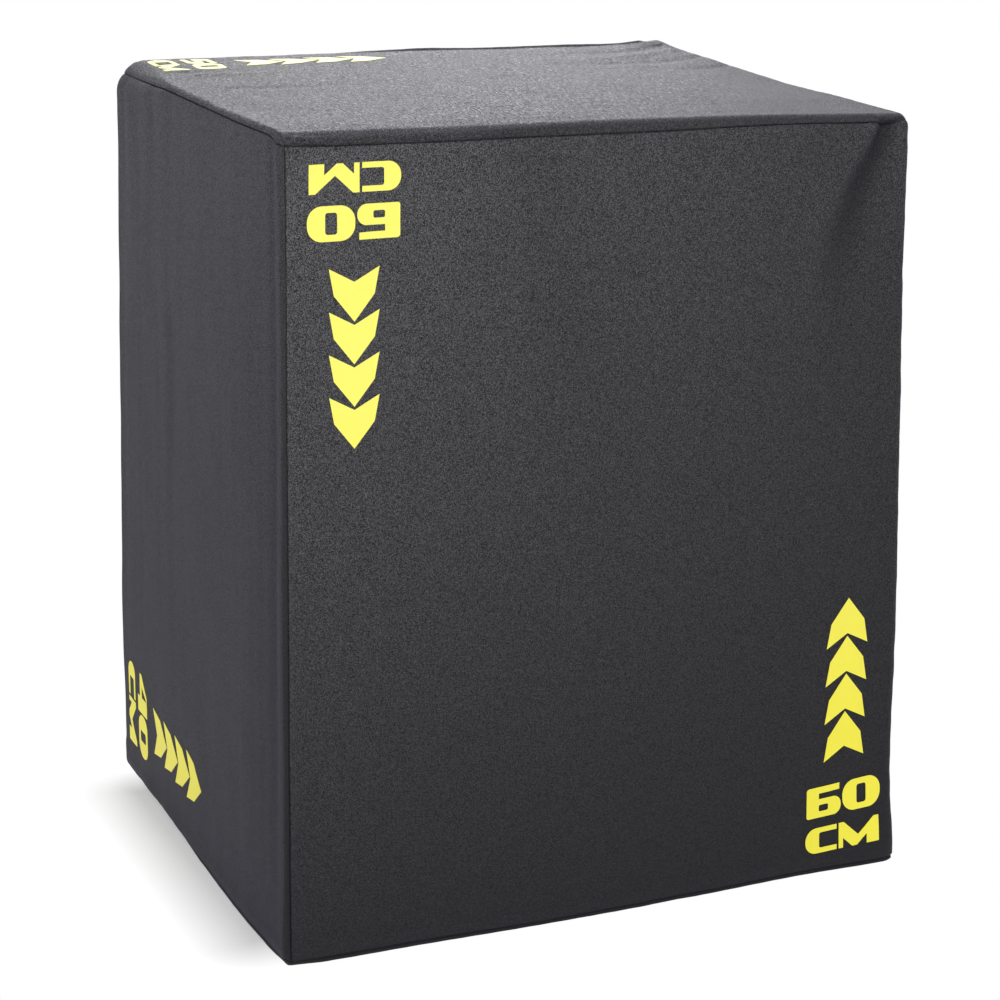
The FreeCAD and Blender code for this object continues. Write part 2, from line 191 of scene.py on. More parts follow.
def spread(tree, value, low, high, outLow=0.0, outHigh=1.0):
    return addNode(tree, "MapRange", {0: value, 1: low, 2: high, 3: outLow, 4: outHigh})[0]


def newGroup(name, values, outputs):
    group = bpy.data.node_groups.new(name, "ShaderNodeTree")
    sockets = group.interface
    sockets.new_socket(name="Vector", in_out="INPUT", socket_type="NodeSocketVector")
    for label, value in values.items():
        sockets.new_socket(name=label, in_out="INPUT", socket_type="NodeSocketFloat").default_value = value
    for label in outputs:
        sockets.new_socket(name=label, in_out="OUTPUT", socket_type="NodeSocketFloat")
    return group, group.nodes.new("NodeGroupInput").outputs, group.nodes.new("NodeGroupOutput").inputs


def makeWeaveGroup():
    # plain weave: warp and weft crowns in a chequer, with uneven threads
    values = {"Threads": 1200.0, "Uneven": 0.25}
    group, start, end = newGroup("threadWeave", values, ("Height", "Warp", "Grain"))
    drift = noiseNode(group, start["Vector"], 140.0, 2.0)["Color"]
    push = vectorNode(group, "SUBTRACT", drift, (0.5, 0.5, 0.5))
    moved = vectorNode(group, "ADD", start["Vector"], vectorNode(group, "SCALE", push, scale=0.0016))
    scaled = vectorNode(group, "SCALE", moved, scale=start["Threads"])
    axes = addNode(group, "SeparateXYZ", {0: scaled})
    across, along = (mathNode(group, "SINE", mathNode(group, "MULTIPLY", axes[k], math.pi)) for k in (0, 1))
    cell = mathNode(group, "MULTIPLY", across, along)
    crown = mathNode(group, "POWER", mathNode(group, "ABSOLUTE", cell), 0.6)
    crossing = vectorNode(group, "FLOOR", scaled)
    yarn = addNode(group, "TexWhiteNoise", {"Vector": crossing}, noise_dimensions="3D")["Value"]
    uneven = mathNode(group, "MULTIPLY", yarn, start["Uneven"])
    group.links.new(mathNode(group, "ADD", crown, uneven), end["Height"])
    group.links.new(spread(group, cell, -1.0, 1.0), end["Warp"])
    group.links.new(yarn, end["Grain"])
    return group


def makeMottleGroup():
    # broad uneven tone with a finer one inside it, for wear, dust and dye
    group, start, end = newGroup("mottle", {"Broad": 6.0, "Fine": 60.0}, ("Tone", "Dust"))
    broad = noiseNode(group, start["Vector"], start["Broad"], 3.0)["Fac"]
    fine = noiseNode(group, start["Vector"], start["Fine"], 4.0)["Fac"]
    group.links.new(spread(group, broad, 0.35, 0.68), end["Tone"])
    group.links.new(mathNode(group, "MULTIPLY", spread(group, fine, 0.48, 0.75), broad), end["Dust"])
    return group


weaveGroup = makeWeaveGroup()
mottleGroup = makeMottleGroup()


def woven(tree, vector, threads, uneven):
    inputs = {"Vector": vector, "Threads": threads, "Uneven": uneven}
    return addNode(tree, "Group", inputs, node_tree=weaveGroup)


def mottled(tree, vector, broad, fine):
    return addNode(tree, "Group", {"Vector": vector, "Broad": broad, "Fine": fine}, node_tree=mottleGroup)


def dusted(tree, tone, share, colour, dust):
    return mixColour(tree, mathNode(tree, "MULTIPLY", tone["Dust"], share), colour, dust)


def heightOf(tree, place):
    return addNode(tree, "SeparateXYZ", {0: place})[2]


def newMaterial(name, gloss=0.5, plain=None):
    made = bpy.data.materials.new(name)
    made.use_nodes = True
    shader = made.node_tree.nodes["Principled BSDF"]
    for key, value in {"Specular IOR Level": gloss, **(plain or {})}.items():
        shader.inputs[key].default_value = value
    place = addNode(made.node_tree, "TexCoord", {})["Object"]
    return made, made.node_tree, shader, place


def finishWith(tree, shader, colour, roughness, relief, distance, strength):
    normal = addNode(tree, "Bump", {"Height": relief, "Distance": distance, "Strength": strength})[0]
    for key, value in (("Base Color", colour), ("Roughness", roughness), ("Normal", normal)):
        tree.links.new(value, shader.inputs[key])


# Cover fabric and its print

fabricLook = {
    "dark": (0.008, 0.008, 0.0085, 1),
    "low": (0.010, 0.010, 0.0105, 1),  # the light threads where the painted shade is deepest
    "pale": (0.225, 0.224, 0.232, 1),  # and where the painted light is strongest
    "dust": (0.03, 0.03, 0.033, 1),
    "threads": 1900.0,
    "slub": 1400.0,
    "slubStretch": (1.0, 0.12, 1.0),  # slubs run along Y
    "wornFrom": (0.596, 0.599),  # heights between which the worn top begins
    "shine": 1.0,
    "roughness": (0.52, 0.70),
    "gloss": 0.21,
    "plain": {
        "Specular Tint": (0.88, 0.86, 1.0, 1),
        "Sheen Weight": 0.03,
        "Sheen Roughness": 0.4,
        "Sheen Tint": (0.35, 0.35, 1.0, 1),
    },
}


def makeFabric(look):
    made, tree, shader, place = newMaterial("coverFabric", look["gloss"], look["plain"])
    weave = woven(tree, addNode(tree, "UVMap", {}, uv_map="weave")[0], look["threads"], 0.9)
    # painted light: the light threads are paler towards the top, at the upper left of the front and on the fold
    # ridges, and darker in the fold valleys
    paintedLight = addNode(tree, "Attribute", {}, attribute_name="paintedLight")["Fac"]
    paintedLightThreads = mixColour(tree, paintedLight, look["low"], look["pale"])
    # random light and dark threads: partly the yarn's own tone, partly painted glints
    thread = mixColour(tree, mathNode(tree, "POWER", weave["Grain"], 1.6), look["dark"], paintedLightThreads)
    # random dust over the threads and their painted light
    worn = dusted(tree, mottled(tree, place, 5.0, 45.0), 0.12, thread, look["dust"])
    # the slubs shine unevenly where the top is worn
    slub = noiseNode(tree, vectorNode(tree, "MULTIPLY", place, look["slubStretch"]), look["slub"], 1.0)["Fac"]
    onTop = spread(tree, heightOf(tree, place), *look["wornFrom"], 0.0, look["shine"])
    uneven = mathNode(tree, "MULTIPLY", mathNode(tree, "SUBTRACT", slub, 0.5), onTop)
    rough = mathNode(tree, "ADD", spread(tree, weave["Grain"], 1.0, 0.0, *look["roughness"]), uneven)
    finishWith(tree, shader, worn, rough, mathNode(tree, "ADD", slub, weave["Height"]), 0.0002, 0.7)
    return made


printLook = {
    "low": (0.99, 0.90, 0.068, 1),
    "high": (0.98, 0.93, 0.165, 1),  # paler higher up, as a painted highlight
    "thin": (0.84, 0.72, 0.05, 1),
    "paintedHighlightFrom": (0.1, 0.45),
    "gloss": 0.38,
    "roughness": (0.44, 0.56),
}


def makePrint(look):
    made, tree, shader, place = newMaterial("printYellow", look["gloss"])
    tone = mottled(tree, place, 40.0, 900.0)
    # painted highlight: the ink is paler towards the top
    inkWithPaintedHighlight = mixColour(tree, spread(tree, heightOf(tree, place), *look["paintedHighlightFrom"]), look["low"], look["high"])
    rough = spread(tree, tone["Dust"], 0.0, 0.5, *look["roughness"])
    finishWith(tree, shader, dusted(tree, tone, 0.25, inkWithPaintedHighlight, look["thin"]), rough, tone["Dust"], 0.0001, 0.6)
    return made


coverFabric = makeFabric(fabricLook)
printYellow = makePrint(printLook)


# Cover: one gridded box, cut at the zip and at its seams, softened and split into its sewn panels

cover = {
    "cells": 134,
    "rounding": (0.006, 0.006, 0.008),  # of the edges, along X, Y and Z
    "lowRounding": (0.0045, 0.0045, 0.004),
    "topLeftRounding": (0.003, 0.0045),  # the top folds over steeply at its left edge
    "scallop": 0.0008,  # and unevenly
    "topFrontRounding": 0.0095,
    "frontLeftRounding": 0.0036,  # of the upright edge nearest the camera
    "lowNearRounding": 0.0075,  # of the floor corner below it
    "nearEdgePull": 0.0034,  # how far that edge is pulled in
    "nearEdgeReach": (0.0046, 0.055),  # and how far along X and Y that reaches
    "rearLeftRounding": 0.024,  # the upper rear left corner is the roundest
    "lowRightRounding": 0.009,  # of the lower right front corner
    "lowLeftRounding": 0.010,  # of the lower left edge, towards the rear
    "crown": 0.004,  # how far the faces swell between their edges
    "crownCells": 24,
    "crownFrames": 20,
    "swell": {
        "use_pressure": True, "uniform_pressure_force": 4.0, "vertex_group_mass": "held",
        "tension_stiffness": 25.0, "compression_stiffness": 25.0, "bending_stiffness": 2.0,
    },
    "wall": 0.001,
    "sideSeam": 0.006,  # from a corner to the upright seam beside it
    "topSeam": 0.591,
    "bottomSeam": 0.004,
    "leftSeamRise": 0.0054,
    "frontSeamRise": (0.0009, 0.0033, 0.0022),  # along the front, towards the right, and at the corner
    "seamDepth": 0.0014,
    "seamLip": 0.0011,  # half the width of the groove at a seam
    "rearRidge": 0.0026,
    "puckerDepth": 0.0007,
    "puckerReach": 0.016,
    "frontPaintedLight": (0.06, 0.58, 1.6),  # painted light on the front: some at the floor, more of it at the top, and less towards the right
    # painted light on the other faces: some at the floor, and more of it at the top
    "sidePaintedLight": (0.016, 0.38),
    "foldPaintedShade": (150, 0.3, 1.5),  # painted light on fold ridges and painted shade in fold valleys: how much the folds change it, and within what limits
    # how far each soft corner has moved, keyed by its side: left or right, front or rear, low or high
    "corners": {
        (0, 0, 0): (-0.0010, -0.0006, 0), (1, 0, 0): (0.0057, -0.0050, 0),
        (0, 1, 0): (0.0002, 0.0009, 0), (1, 1, 0): (0.0040, 0.0010, 0),
        (0, 0, 1): (-0.0001, 0.0003, 0.0017), (1, 0, 1): (-0.0053, 0.0027, -0.0049),
        (0, 1, 1): (0.0054, -0.0011, 0.0037), (1, 1, 1): (-0.0050, 0.0, 0.0011),
    },
}

zipLine = {"left": -0.228, "top": 0.576, "bottom": 0.024, "radius": 0.022, "gap": 0.0132, "end": 0.236}
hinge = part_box("rear_flap")[1].x
boxLow = Vector((-0.25, -0.2, 0.0))
boxHigh = Vector((0.25, 0.2, 0.6))
rearY = boxHigh.y


def zipField(out, right):
    # the outline of the zip's line, moved outwards
    field = {"left": zipLine["left"] - out, "right": right, "bottom": zipLine["bottom"] - out}
    return field | {"top": zipLine["top"] + out, "radius": zipLine["radius"] + out}


opening = zipField(zipLine["gap"] / 2, hinge + 0.0005)
flapField = zipField(-zipLine["gap"] / 2, hinge)
zipCentres = [
    (zipLine["left"] + zipLine["radius"], zipLine["top"] - zipLine["radius"], 1),
    (zipLine["left"] + zipLine["radius"], zipLine["bottom"] + zipLine["radius"], -1),
]
arcTurns = [math.radians(9 + 18 * k) for k in range(5)]


def gridLines(stops, cells):
    # the widest cell is halved in turn, with narrower cells towards both ends
    parts = [1] * (len(stops) - 1)
    middles = [(stops[i] + stops[i + 1]) / 2 for i in range(len(parts))]
    weights = [1 + 1.8 * math.exp(-min(at - stops[0], stops[-1] - at) / 0.05) for at in middles]
    while sum(parts) < cells:
        widths = [weights[i] * (stops[i + 1] - stops[i]) / parts[i] for i in range(len(parts))]
        parts[widths.index(max(widths))] += 1
    lines = []
    for i, count in enumerate(parts):
        lines += [stops[i] + (stops[i + 1] - stops[i]) * k / count for k in range(count)]
    return lines + [stops[-1]]


def arcNormals(side):
    return [Vector((-math.cos(turn), 0, side * math.sin(turn))) for turn in arcTurns]


def inField(field, x, z):
    if not (field["left"] < x < field["right"] and field["bottom"] < z < field["top"]):
        return False
    for centreX, centreZ, side in zipCentres:
        away = Vector((x - centreX, 0, z - centreZ))
        if any(away.dot(normal) > field["radius"] for normal in arcNormals(side)):
            return False
    return True


def inSlot(x, z):
    return hinge < x < zipLine["end"] and flapField["top"] < z < opening["top"]


panels = ["cover_front", "cover_left", "cover_right", "cover_top", "cover_bottom", "rear_flap", "cut_away"]


def panelAt(p, c):
    sideX = boxHigh.x - c["sideSeam"]
    atRear = p.y > rearY - c["sideSeam"]
    if p.y > rearY - 1e-5:
        if inField(flapField, p.x, p.z):
            return "rear_flap"
        if inField(opening, p.x, p.z) or inSlot(p.x, p.z):
            return "cut_away"
    if p.z > c["topSeam"] or (atRear and abs(p.x) < sideX and p.z > opening["top"]):
        return "cover_top"
    if p.z < c["bottomSeam"] or (atRear and abs(p.x) < sideX and p.z < opening["bottom"]):
        return "cover_bottom"
    if p.x < -sideX or (atRear and p.x < 0):
        return "cover_left"
    if atRear or (p.x > sideX and p.y > boxLow.y + c["sideSeam"]):
        return "cover_right"
    return "cover_front"


def makeShell(c):
    seam, lip = c["sideSeam"], c["seamLip"]
    rim = [0, 0.002, 0.0038, seam - lip, seam, seam + lip, 0.0092, 0.0125]  # distances from an edge
    top = c["topSeam"]
    stops = [
        [boxLow.x + d for d in rim] + [opening["left"], flapField["left"], -0.19, 0.17]
        + [hinge, opening["right"], 0.216, zipLine["end"]] + [boxHigh.x - d for d in reversed(rim)],
        [boxLow.y + d for d in rim] + [-0.16, 0.16] + [boxHigh.y - d for d in reversed(rim)],
        [0, 0.002, c["bottomSeam"], 0.006, 0.0095, opening["bottom"], flapField["bottom"], 0.06, 0.52, 0.55]
        + [flapField["top"], opening["top"], 0.5865, top - lip, top, top + lip]
        + [0.594, 0.596, 0.598, boxHigh.z],
    ]
    lines = [gridLines(values, c["cells"]) for values in stops]
    bm = bmesh.new()
    bmesh.ops.create_cube(bm, size=2.0)
    bmesh.ops.subdivide_edges(bm, edges=bm.edges[:], cuts=c["cells"] - 1, use_grid_fill=True)
    for vert in bm.verts:
        vert.co = [lines[axis][round((vert.co[axis] + 1) / 2 * c["cells"])] for axis in range(3)]
    for centreX, centreZ, side in zipCentres:
        for radius in (opening["radius"], flapField["radius"]):
            for normal in arcNormals(side):
                near = []
                for face in bm.faces:
                    middle = face.calc_center_median()
                    onArc = middle.x < centreX + 0.006 and side * (middle.z - centreZ) > -0.006
                    if onArc and middle.y > rearY - 1e-5:
                        near.append(face)
                near += {item for face in near for item in (*face.verts, *face.edges)}
                point = Vector((centreX, rearY, centreZ)) + normal * radius
                bmesh.ops.bisect_plane(bm, geom=near, dist=1e-6, plane_co=point, plane_no=normal)
    bm.normal_update()
    return bm


def nearestOnPath(u, v, path):
    # distance to a drawn line, and how far along it that is, from 0 to 1
    best = (1e9, 0.0)
    for k in range(len(path) - 1):
        (u0, v0), (u1, v1) = path[k], path[k + 1]
        du, dv = u1 - u0, v1 - v0
        t = clamp(((u - u0) * du + (v - v0) * dv) / (du * du + dv * dv))
        away = math.hypot(u - u0 - t * du, v - v0 - t * dv)
        if away < best[0]:
            best = (away, (k + t) / (len(path) - 1))
    return best


# Folds in the cloth, as lines drawn on a face in millimetres: front X and Z, left Y and Z, top X and Y.
# Each has a depth, a width at both ends, the stretch over which it fades, and its line.
folds = {
    "front": [
        (6.0, (6.5, 26), (0.25, 1.1),
         [(232, 592), (221, 570), (203, 541), (191, 506), (184, 470), (176, 400)]),
        (-3.0, (6, 20), (0.25, 1.1),
         [(218, 588), (210, 567), (192, 542), (180, 515), (170, 470), (160, 400)]),
        (-1.6, (6, 9), (0.2, 1.0), [(243, 590), (241, 560), (238, 500)]),
        (1.6, (2.5, 2), (0.6, 1.4), [(226, 592), (236, 596), (246, 599)]),
        (1.6, (3, 4), (0.2, 1.0), [(-240, 588), (-226, 590), (-208, 588)]),
        (-1.2, (3, 4), (0.2, 1.0), [(-238, 597), (-222, 596), (-204, 598)]),
        (1.0, (30, 60), (0.2, 1.0), [(-60, 594), (-20, 430), (30, 240)]),
        (-0.8, (3, 3), (0.8, 1.4), [(-245, 560), (-243, 300), (-243, 40)]),
    ],
    "left": [
        (0.8, (5, 14), (0.1, 1.0), [(176, 594), (171, 500), (172, 380)]),
        (0.55, (9, 18), (0.1, 1.0), [(146, 594), (136, 520), (140, 360)]),
        (0.9, (9, 20), (0.1, 1.0), [(98, 594), (92, 520), (96, 330)]),
        (0.5, (12, 22), (0.1, 1.0), [(44, 594), (36, 530), (40, 400)]),
        (0.9, (16, 22), (0.1, 1.0), [(40, 420), (38, 300), (44, 160)]),
        (1.1, (5, 7), (0.6, 1.2), [(-184, 585), (-186, 400), (-184, 60)]),
    ],
    "top": [
        (-1.2, (4, 7), (0.2, 1.0), [(-226, 118), (-200, 112), (-150, 124)]),
        (-1.1, (5, 8), (0.2, 1.0), [(-214, 92), (-170, 86), (-110, 98)]),
        (1.0, (6, 12), (0.2, 1.0), [(-205, 20), (-150, 6), (-60, 14)]),
        (1.7, (6, 14), (0.1, 1.0), [(236, 176), (190, 150), (120, 138), (30, 142)]),
        (-1.3, (6, 13), (0.1, 1.0), [(236, 150), (190, 118), (120, 104), (20, 110)]),
        (1.5, (6, 14), (0.1, 1.0), [(238, 112), (190, 84), (110, 72), (20, 78)]),
        (1.3, (6, 12), (0.1, 1.0), [(238, 64), (190, 40), (120, 36)]),
    ],
}


def foldAt(face, u, v):
    total = 0.0
    for depth, (near, far), (start, end), path in folds.get(face, ()):
        away, along = nearestOnPath(u / mm, v / mm, path)
        width = near + (far - near) * along
        if away <= 3 * width:
            share = (1 - smooth((along - start) / (end - start))) * smooth((along + 0.08) / 0.08)
            total -= depth * mm * math.exp(-(away / width) ** 2) * share
    return total


def faceOf(p):
    # which face of the box a point lies on, and its place on that face
    if p.z > boxHigh.z - 1e-5:
        return "top", p.x, p.y
    if p.z < 1e-5:
        return "bottom", p.x, p.y
    if p.y < boxLow.y + 1e-5:
        return "front", p.x, p.z
    if p.y > boxHigh.y - 1e-5:
        return "rear", p.x, p.z
    return ("left" if p.x < 0 else "right"), p.y, p.z


def edgeRadii(p, c):
    low, high = 1 - smooth(p.z / 0.06), smooth((p.z - 0.56) / 0.03)
    left, right, front = smooth(-p.x / 0.1), smooth(p.x / 0.1), smooth(-p.y / 0.1)
    topLeft = high * left
    rearLeft = smooth((p.y - 0.04) / 0.15) * smooth((p.z - 0.5) / 0.06) * left
    radii = [c["rounding"][a] * (1 - low) + c["lowRounding"][a] * low for a in range(3)]

    def blend(axes, radius, share):
        for a in axes:
            radii[a] += (radius - radii[a]) * share

    scallop = c["scallop"] * noise.noise(Vector((0, p.y * 38.0, 5)))
    blend([0], c["topLeftRounding"][0] + scallop, topLeft)
    blend([2], c["topLeftRounding"][1], topLeft)
    blend([1], c["topFrontRounding"], high * front)
    blend([0, 1], c["frontLeftRounding"], left * front * (1 - smooth((p.z - 0.53) / 0.05)))
    blend([0], c["lowRightRounding"], low * right * front)
    blend([0, 2], c["rearLeftRounding"], rearLeft)
    blend([0, 2], c["lowLeftRounding"], low * smooth((p.y + 0.03) / 0.1) * left)
    nearCorner = low * smooth((-0.215 - p.x) / 0.03) * smooth((-0.165 - p.y) / 0.03)
    blend([0, 1, 2], c["lowNearRounding"], nearCorner)
    return radii, 2 - 0.7 * topLeft * (1 - rearLeft)


def rounded(p, c):
    radii, power = edgeRadii(p, c)
    inner = Vector([clamp(p[a], boxLow[a] + radii[a], boxHigh[a] - radii[a]) for a in range(3)])
    away = Vector([(p[a] - inner[a]) / radii[a] for a in range(3)])
    if away.length < 1e-9:
        return p.copy()
    away /= sum(abs(value) ** power for value in away) ** (1 / power)
    return inner + Vector([away[a] * radii[a] for a in range(3)])


def seamLift(p, c):
    # on the left face the top seam rides up over the edge and comes down to the front corner,
    # and on the front it runs up into a fold at the right corner
    if p.z > 0.5999 or p.z < 0.5:
        return 0.0
    above = (boxHigh.z - p.z) / (boxHigh.z - c["topSeam"])
    level = above if above < 1 else smooth(1 - (c["topSeam"] - p.z) / 0.09)
    rise = 0.0
    if p.x < boxLow.x + 0.01:
        rise = c["leftSeamRise"] * smooth((p.y + 0.2) / 0.025)
    if p.y < boxLow.y + 0.01:
        along, right, corner = c["frontSeamRise"]
        rise = along + right * smooth((p.x - 0.03) / 0.2) + corner * smooth((p.x - 0.228) / 0.016)
    return rise * level


# Edges that sag or bow out between their corners, in millimetres: the axis they run along, a point on them,
# how far their middle moves, how wide that reaches, where along it that is most, and how peaked
edgeBows = [
    (1, (250, 0, 600), (-2.2, 0, -3.5), 70, 0.8, 2),
    (0, (0, -200, 0), (0, -10.8, 0), 90, 1.0, 1),
    (0, (0, 200, 600), (0, 0, 1.6), 120, 0.55, 1),
    (0, (0, -200, 600), (0, 0, -1.9), 15, 0.4, 2),
    (2, (250, -200, 0), (3.6, 0, 0), 90, 0.65, 2),
    (2, (-250, 200, 0), (-2.2, 0, 0), 90, 0.55, 2),
    (1, (-250, 0, 0), (-2.0, 0, 0), 120, 0.6, 2),
]

# Corners that droop or stick out by themselves, in millimetres: where, how far, and how wide that reaches
cornerMoves = [
    ((250, -200, 600), (0, 0, -4.0), 80),
    ((250, 200, 600), (0, 0, 2.4), 30),
    ((250, -200, 0), (3.2, -7.5, 0), 60),
    ((-250, -200, 0), (-1.5, -6.0, 0), 80),
]


def shareAlong(p, axis):
    return clamp((p[axis] - boxLow[axis]) / (boxHigh[axis] - boxLow[axis]))


def edgeMove(p):
    total = Vector((0, 0, 0))
    for runs, at, middle, reach, lean, power in edgeBows:
        away = Vector([0 if a == runs else p[a] / mm - at[a] for a in range(3)]).length
        bow = math.sin(math.pi * shareAlong(p, runs) ** lean) ** power
        total += Vector(middle) * mm * math.exp(-(away / reach) ** 2) * bow
    for at, move, reach in cornerMoves:
        away = (p / mm - Vector(at)).length
        total += Vector(move) * mm * math.exp(-(away / reach) ** 2)
    return total


def pastZip(p):
    # how far a point lies outside the zip's opening
    return max(opening["left"] - p.x, p.x - zipLine["end"], opening["bottom"] - p.z, p.z - opening["top"])


def zipHold(p):
    # the zip holds the rear face to its shape
    return smooth((p.y - (rearY - 0.03)) / 0.025) * (1 - smooth(pastZip(p) / 0.012))


def softWarp(p, c):
    # the cover's corners have moved a little, as the foam under them gives
    share = [shareAlong(p, axis) for axis in range(3)]
    total = Vector((0, 0, 0))
    for corner, move in c["corners"].items():
        total += math.prod(share[a] if corner[a] else 1 - share[a] for a in range(3)) * Vector(move)
    nearX, nearY = ((p[a] - boxLow[a]) / c["nearEdgeReach"][a] for a in (0, 1))
    pull = c["nearEdgePull"] * math.exp(-nearX ** 2 - nearY ** 2)
    total.x += pull * (0.45 + 0.55 * smooth(p.z / 0.12))
    return (total + edgeMove(p)) * (1 - zipHold(p))


def swellShell(c):
    # a coarse closed shell is blown up a little by cloth simulation, held along its edges
    mesh = meshFrom("swellShell", boxBetween(boxLow, boxHigh, c["crownCells"] - 1))
    rest = [vert.co.copy() for vert in mesh.vertices]
    shell = linkObject("swellShell", mesh)
    held = shell.vertex_groups.new(name="held")
    for index, p in enumerate(rest):
        toFaces = sorted(min(p[a] - boxLow[a], boxHigh[a] - p[a]) for a in range(3))
        if toFaces[1] < 0.012:
            held.add([index], 1.0, "REPLACE")
    cloth = shell.modifiers.new("swell", "CLOTH")
    for key, value in c["swell"].items():
        setattr(cloth.settings, key, value)
    cloth.settings.effector_weights.gravity = 0.0
    cloth.point_cache.frame_end = c["crownFrames"]
    for number in range(1, c["crownFrames"] + 1):
        scene.frame_set(number)
    graph = bpy.context.evaluated_depsgraph_get()
    swollen = [vert.co.copy() for vert in shell.evaluated_get(graph).data.vertices]
    scene.frame_set(1)
    bpy.data.objects.remove(shell)
    bpy.data.meshes.remove(mesh)
    moves = [after - before for before, after in zip(rest, swollen)]
    most = max(move.length for move in moves)
    print("cover swollen by simulation, scaled from", round(most, 4), "to", c["crown"])
    return pointTree(rest), [move * c["crown"] / most for move in moves]


def crownAt(p, tree, moves):
    near = tree.find_n(p, 6)
    shares = [1 / (away + 1e-4) ** 2 for _, _, away in near]
    total = sum((moves[index] * share for (_, index, _), share in zip(near, shares)), Vector())
    flat = smooth((p.y - (rearY - 0.04)) / 0.03) * (1 - smooth((p.z - 0.585) / 0.012))
    return total / sum(shares) * (1 - flat)


def paintedLightAt(p, onFront, fold, c):
    # painted light: the cover is paler towards its top, most at the upper left of the front, and on its fold
    # ridges, with painted shade in its fold valleys
    level = p.z / boxHigh.z
    low, high = c["sidePaintedLight"]
    share = low + high * level ** 2
    if onFront:
        low, high, right = c["frontPaintedLight"]
        share = (low + high * level) * (1 - right * p.x)
    change, least, most = c["foldPaintedShade"]
    return clamp(share * clamp(1 + change * fold, least, most))


def clothLift(p, face, seamPoint, away, onSeam, c):
    # uneven cloth, puckers beside the seams, the seams' grooves, and the ridge along the upper rear edge
    lift = 0.0009 * noise.noise(p * 9.0) + 0.00045 * noise.noise(p * 24.0 + Vector((3, 1, 7)))
    if face == "left":
        lift += 0.0004 * noise.noise(Vector((p.y * 42.0, p.z * 3.0, 8)))
    calm, deep = 1.0, 1.0
    if p.z < 0.03:
        calm = 0.2
    elif p.x > boxHigh.x - 0.012:
        calm = 0.5
    elif p.x < boxLow.x + 0.012 and p.z > 0.56:
        calm, deep = 0.3, 1.3
    pucker = noise.noise(seamPoint * 95.0) + 0.6 * noise.noise(seamPoint * 210.0)
    lift += calm * c["puckerDepth"] * pucker * math.exp(-away / c["puckerReach"])
    lift += 0.0006 * math.exp(-((away - 0.009) / 0.005) ** 2)
    if onSeam and p.z > 0.02:
        shallow = smooth((p.y - 0.10) / 0.08) * smooth(-p.x / 0.1) * smooth((p.z - 0.5) / 0.05)
        uneven = 1.0 + 0.5 * noise.noise(seamPoint * 120.0)
        lift -= c["seamDepth"] * uneven * (1 - 0.6 * shallow) * deep
    elif onSeam:
        lift -= 0.8 * c["seamDepth"]
    elif p.z > 0.02 and away < 1.05 * c["seamLip"]:
        lift -= 0.15 * c["seamDepth"]
    if face == "top" and rearY - p.y < 0.0045:
        rough = clamp(0.8 + 0.4 * noise.noise(Vector((p.x * 22.0, 0, 3))), 0.4, 1.2)
        lift += c["rearRidge"] * rough * smooth((0.24 - abs(p.x + 0.004)) / 0.01)
    return lift


def softenShell(bm, c):
    swellTree, swellMoves = swellShell(c)
    panelLayer = bm.faces.layers.int.new("panel")
    uvLayer = bm.loops.layers.uv.new("weave")
    paintedLightLayer = bm.verts.layers.float.new("paintedLight")
    paintedLightOffFront = bm.verts.layers.float.new("paintedLightOffFront")
    for face in bm.faces:
        face[panelLayer] = panels.index(panelAt(face.calc_center_median(), c))
        side = max(range(3), key=lambda axis: abs(face.normal[axis]))
        u, v = [axis for axis in range(3) if axis != side]
        for loop in face.loops:
            loop[uvLayer].uv = (loop.vert.co[u], loop.vert.co[v])
    cut = [face for face in bm.faces if face[panelLayer] == panels.index("cut_away")]
    bmesh.ops.delete(bm, geom=cut, context="FACES")
    seamVerts = set()
    for edge in bm.edges:
        if len({face[panelLayer] for face in edge.link_faces}) > 1:
            seamVerts.update(edge.verts)
    tree = pointTree([vert.co for vert in bm.verts if vert in seamVerts])
    rest = {vert: vert.co.copy() for vert in bm.verts}
    nearSeam = {vert: tree.find(vert.co) for vert in bm.verts}
    for vert, p in rest.items():
        vert.co = rounded(p + Vector((0, 0, seamLift(p, c))), c)
    bm.normal_update()
    moves = {}
    for vert, p in rest.items():
        face, u, v = faceOf(p)
        lift = foldAt(face, u, v)
        # painted light for each point: the front's own, and the one that the other panels take
        vert[paintedLightLayer] = paintedLightAt(p, face == "front", lift, c)
        vert[paintedLightOffFront] = paintedLightAt(p, False, lift, c)
        seamPoint, _, away = nearSeam[vert]
        lift += clothLift(p, face, seamPoint, away, vert in seamVerts, c)
        if face == "rear":
            lift *= smooth(pastZip(p) / 0.012)
        if face == "bottom":
            lift = min(lift, 0.0)
        moves[vert] = vert.normal * lift + softWarp(p, c) + crownAt(p, swellTree, swellMoves)
    for vert, move in moves.items():
        vert.co += move

    def nearEdge(p, axis):
        return min(abs(p[axis] - boxLow[axis]), abs(p[axis] - boxHigh[axis])) < 0.02

    corners = [vert for vert, p in rest.items() if p.z > 0.57 and nearEdge(p, 0) and nearEdge(p, 1)]
    bmesh.ops.smooth_vert(bm, verts=corners, factor=0.5, use_axis_x=True, use_axis_y=True, use_axis_z=True)
    for vert in bm.verts:
        vert.co.z = max(vert.co.z, 0.0)
    bm.normal_update()


def makeCover(c):
    shell = makeShell(c)
    softenShell(shell, c)
    made = {}
    for index, name in enumerate(panels[:-1]):
        part = shell.copy()
        layer = part.faces.layers.int["panel"]
        others = [face for face in part.faces if face[layer] != index]
        bmesh.ops.delete(part, geom=others, context="FACES")
        paintedLightLayer, paintedLightOffFront = (part.verts.layers.float[key] for key in ("paintedLight", "paintedLightOffFront"))
        if name != "cover_front":
            for vert in part.verts:
                vert[paintedLightLayer] = vert[paintedLightOffFront]
        part.verts.layers.float.remove(paintedLightOffFront)
        body = "flap" if name == "rear_flap" else "box"
        piece = addPiece(name + "_cloth", part, coverFabric, body)
        thicken(piece, c["wall"])
        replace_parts(piece, name)
        made[name] = piece
        print("cover panel", name, len(piece.data.polygons), "faces")
    shell.free()
    return made


coverPieces = makeCover(cover)


# Printed height marks: plain numbers and a unit, with four arrowheads above them, in millimetres

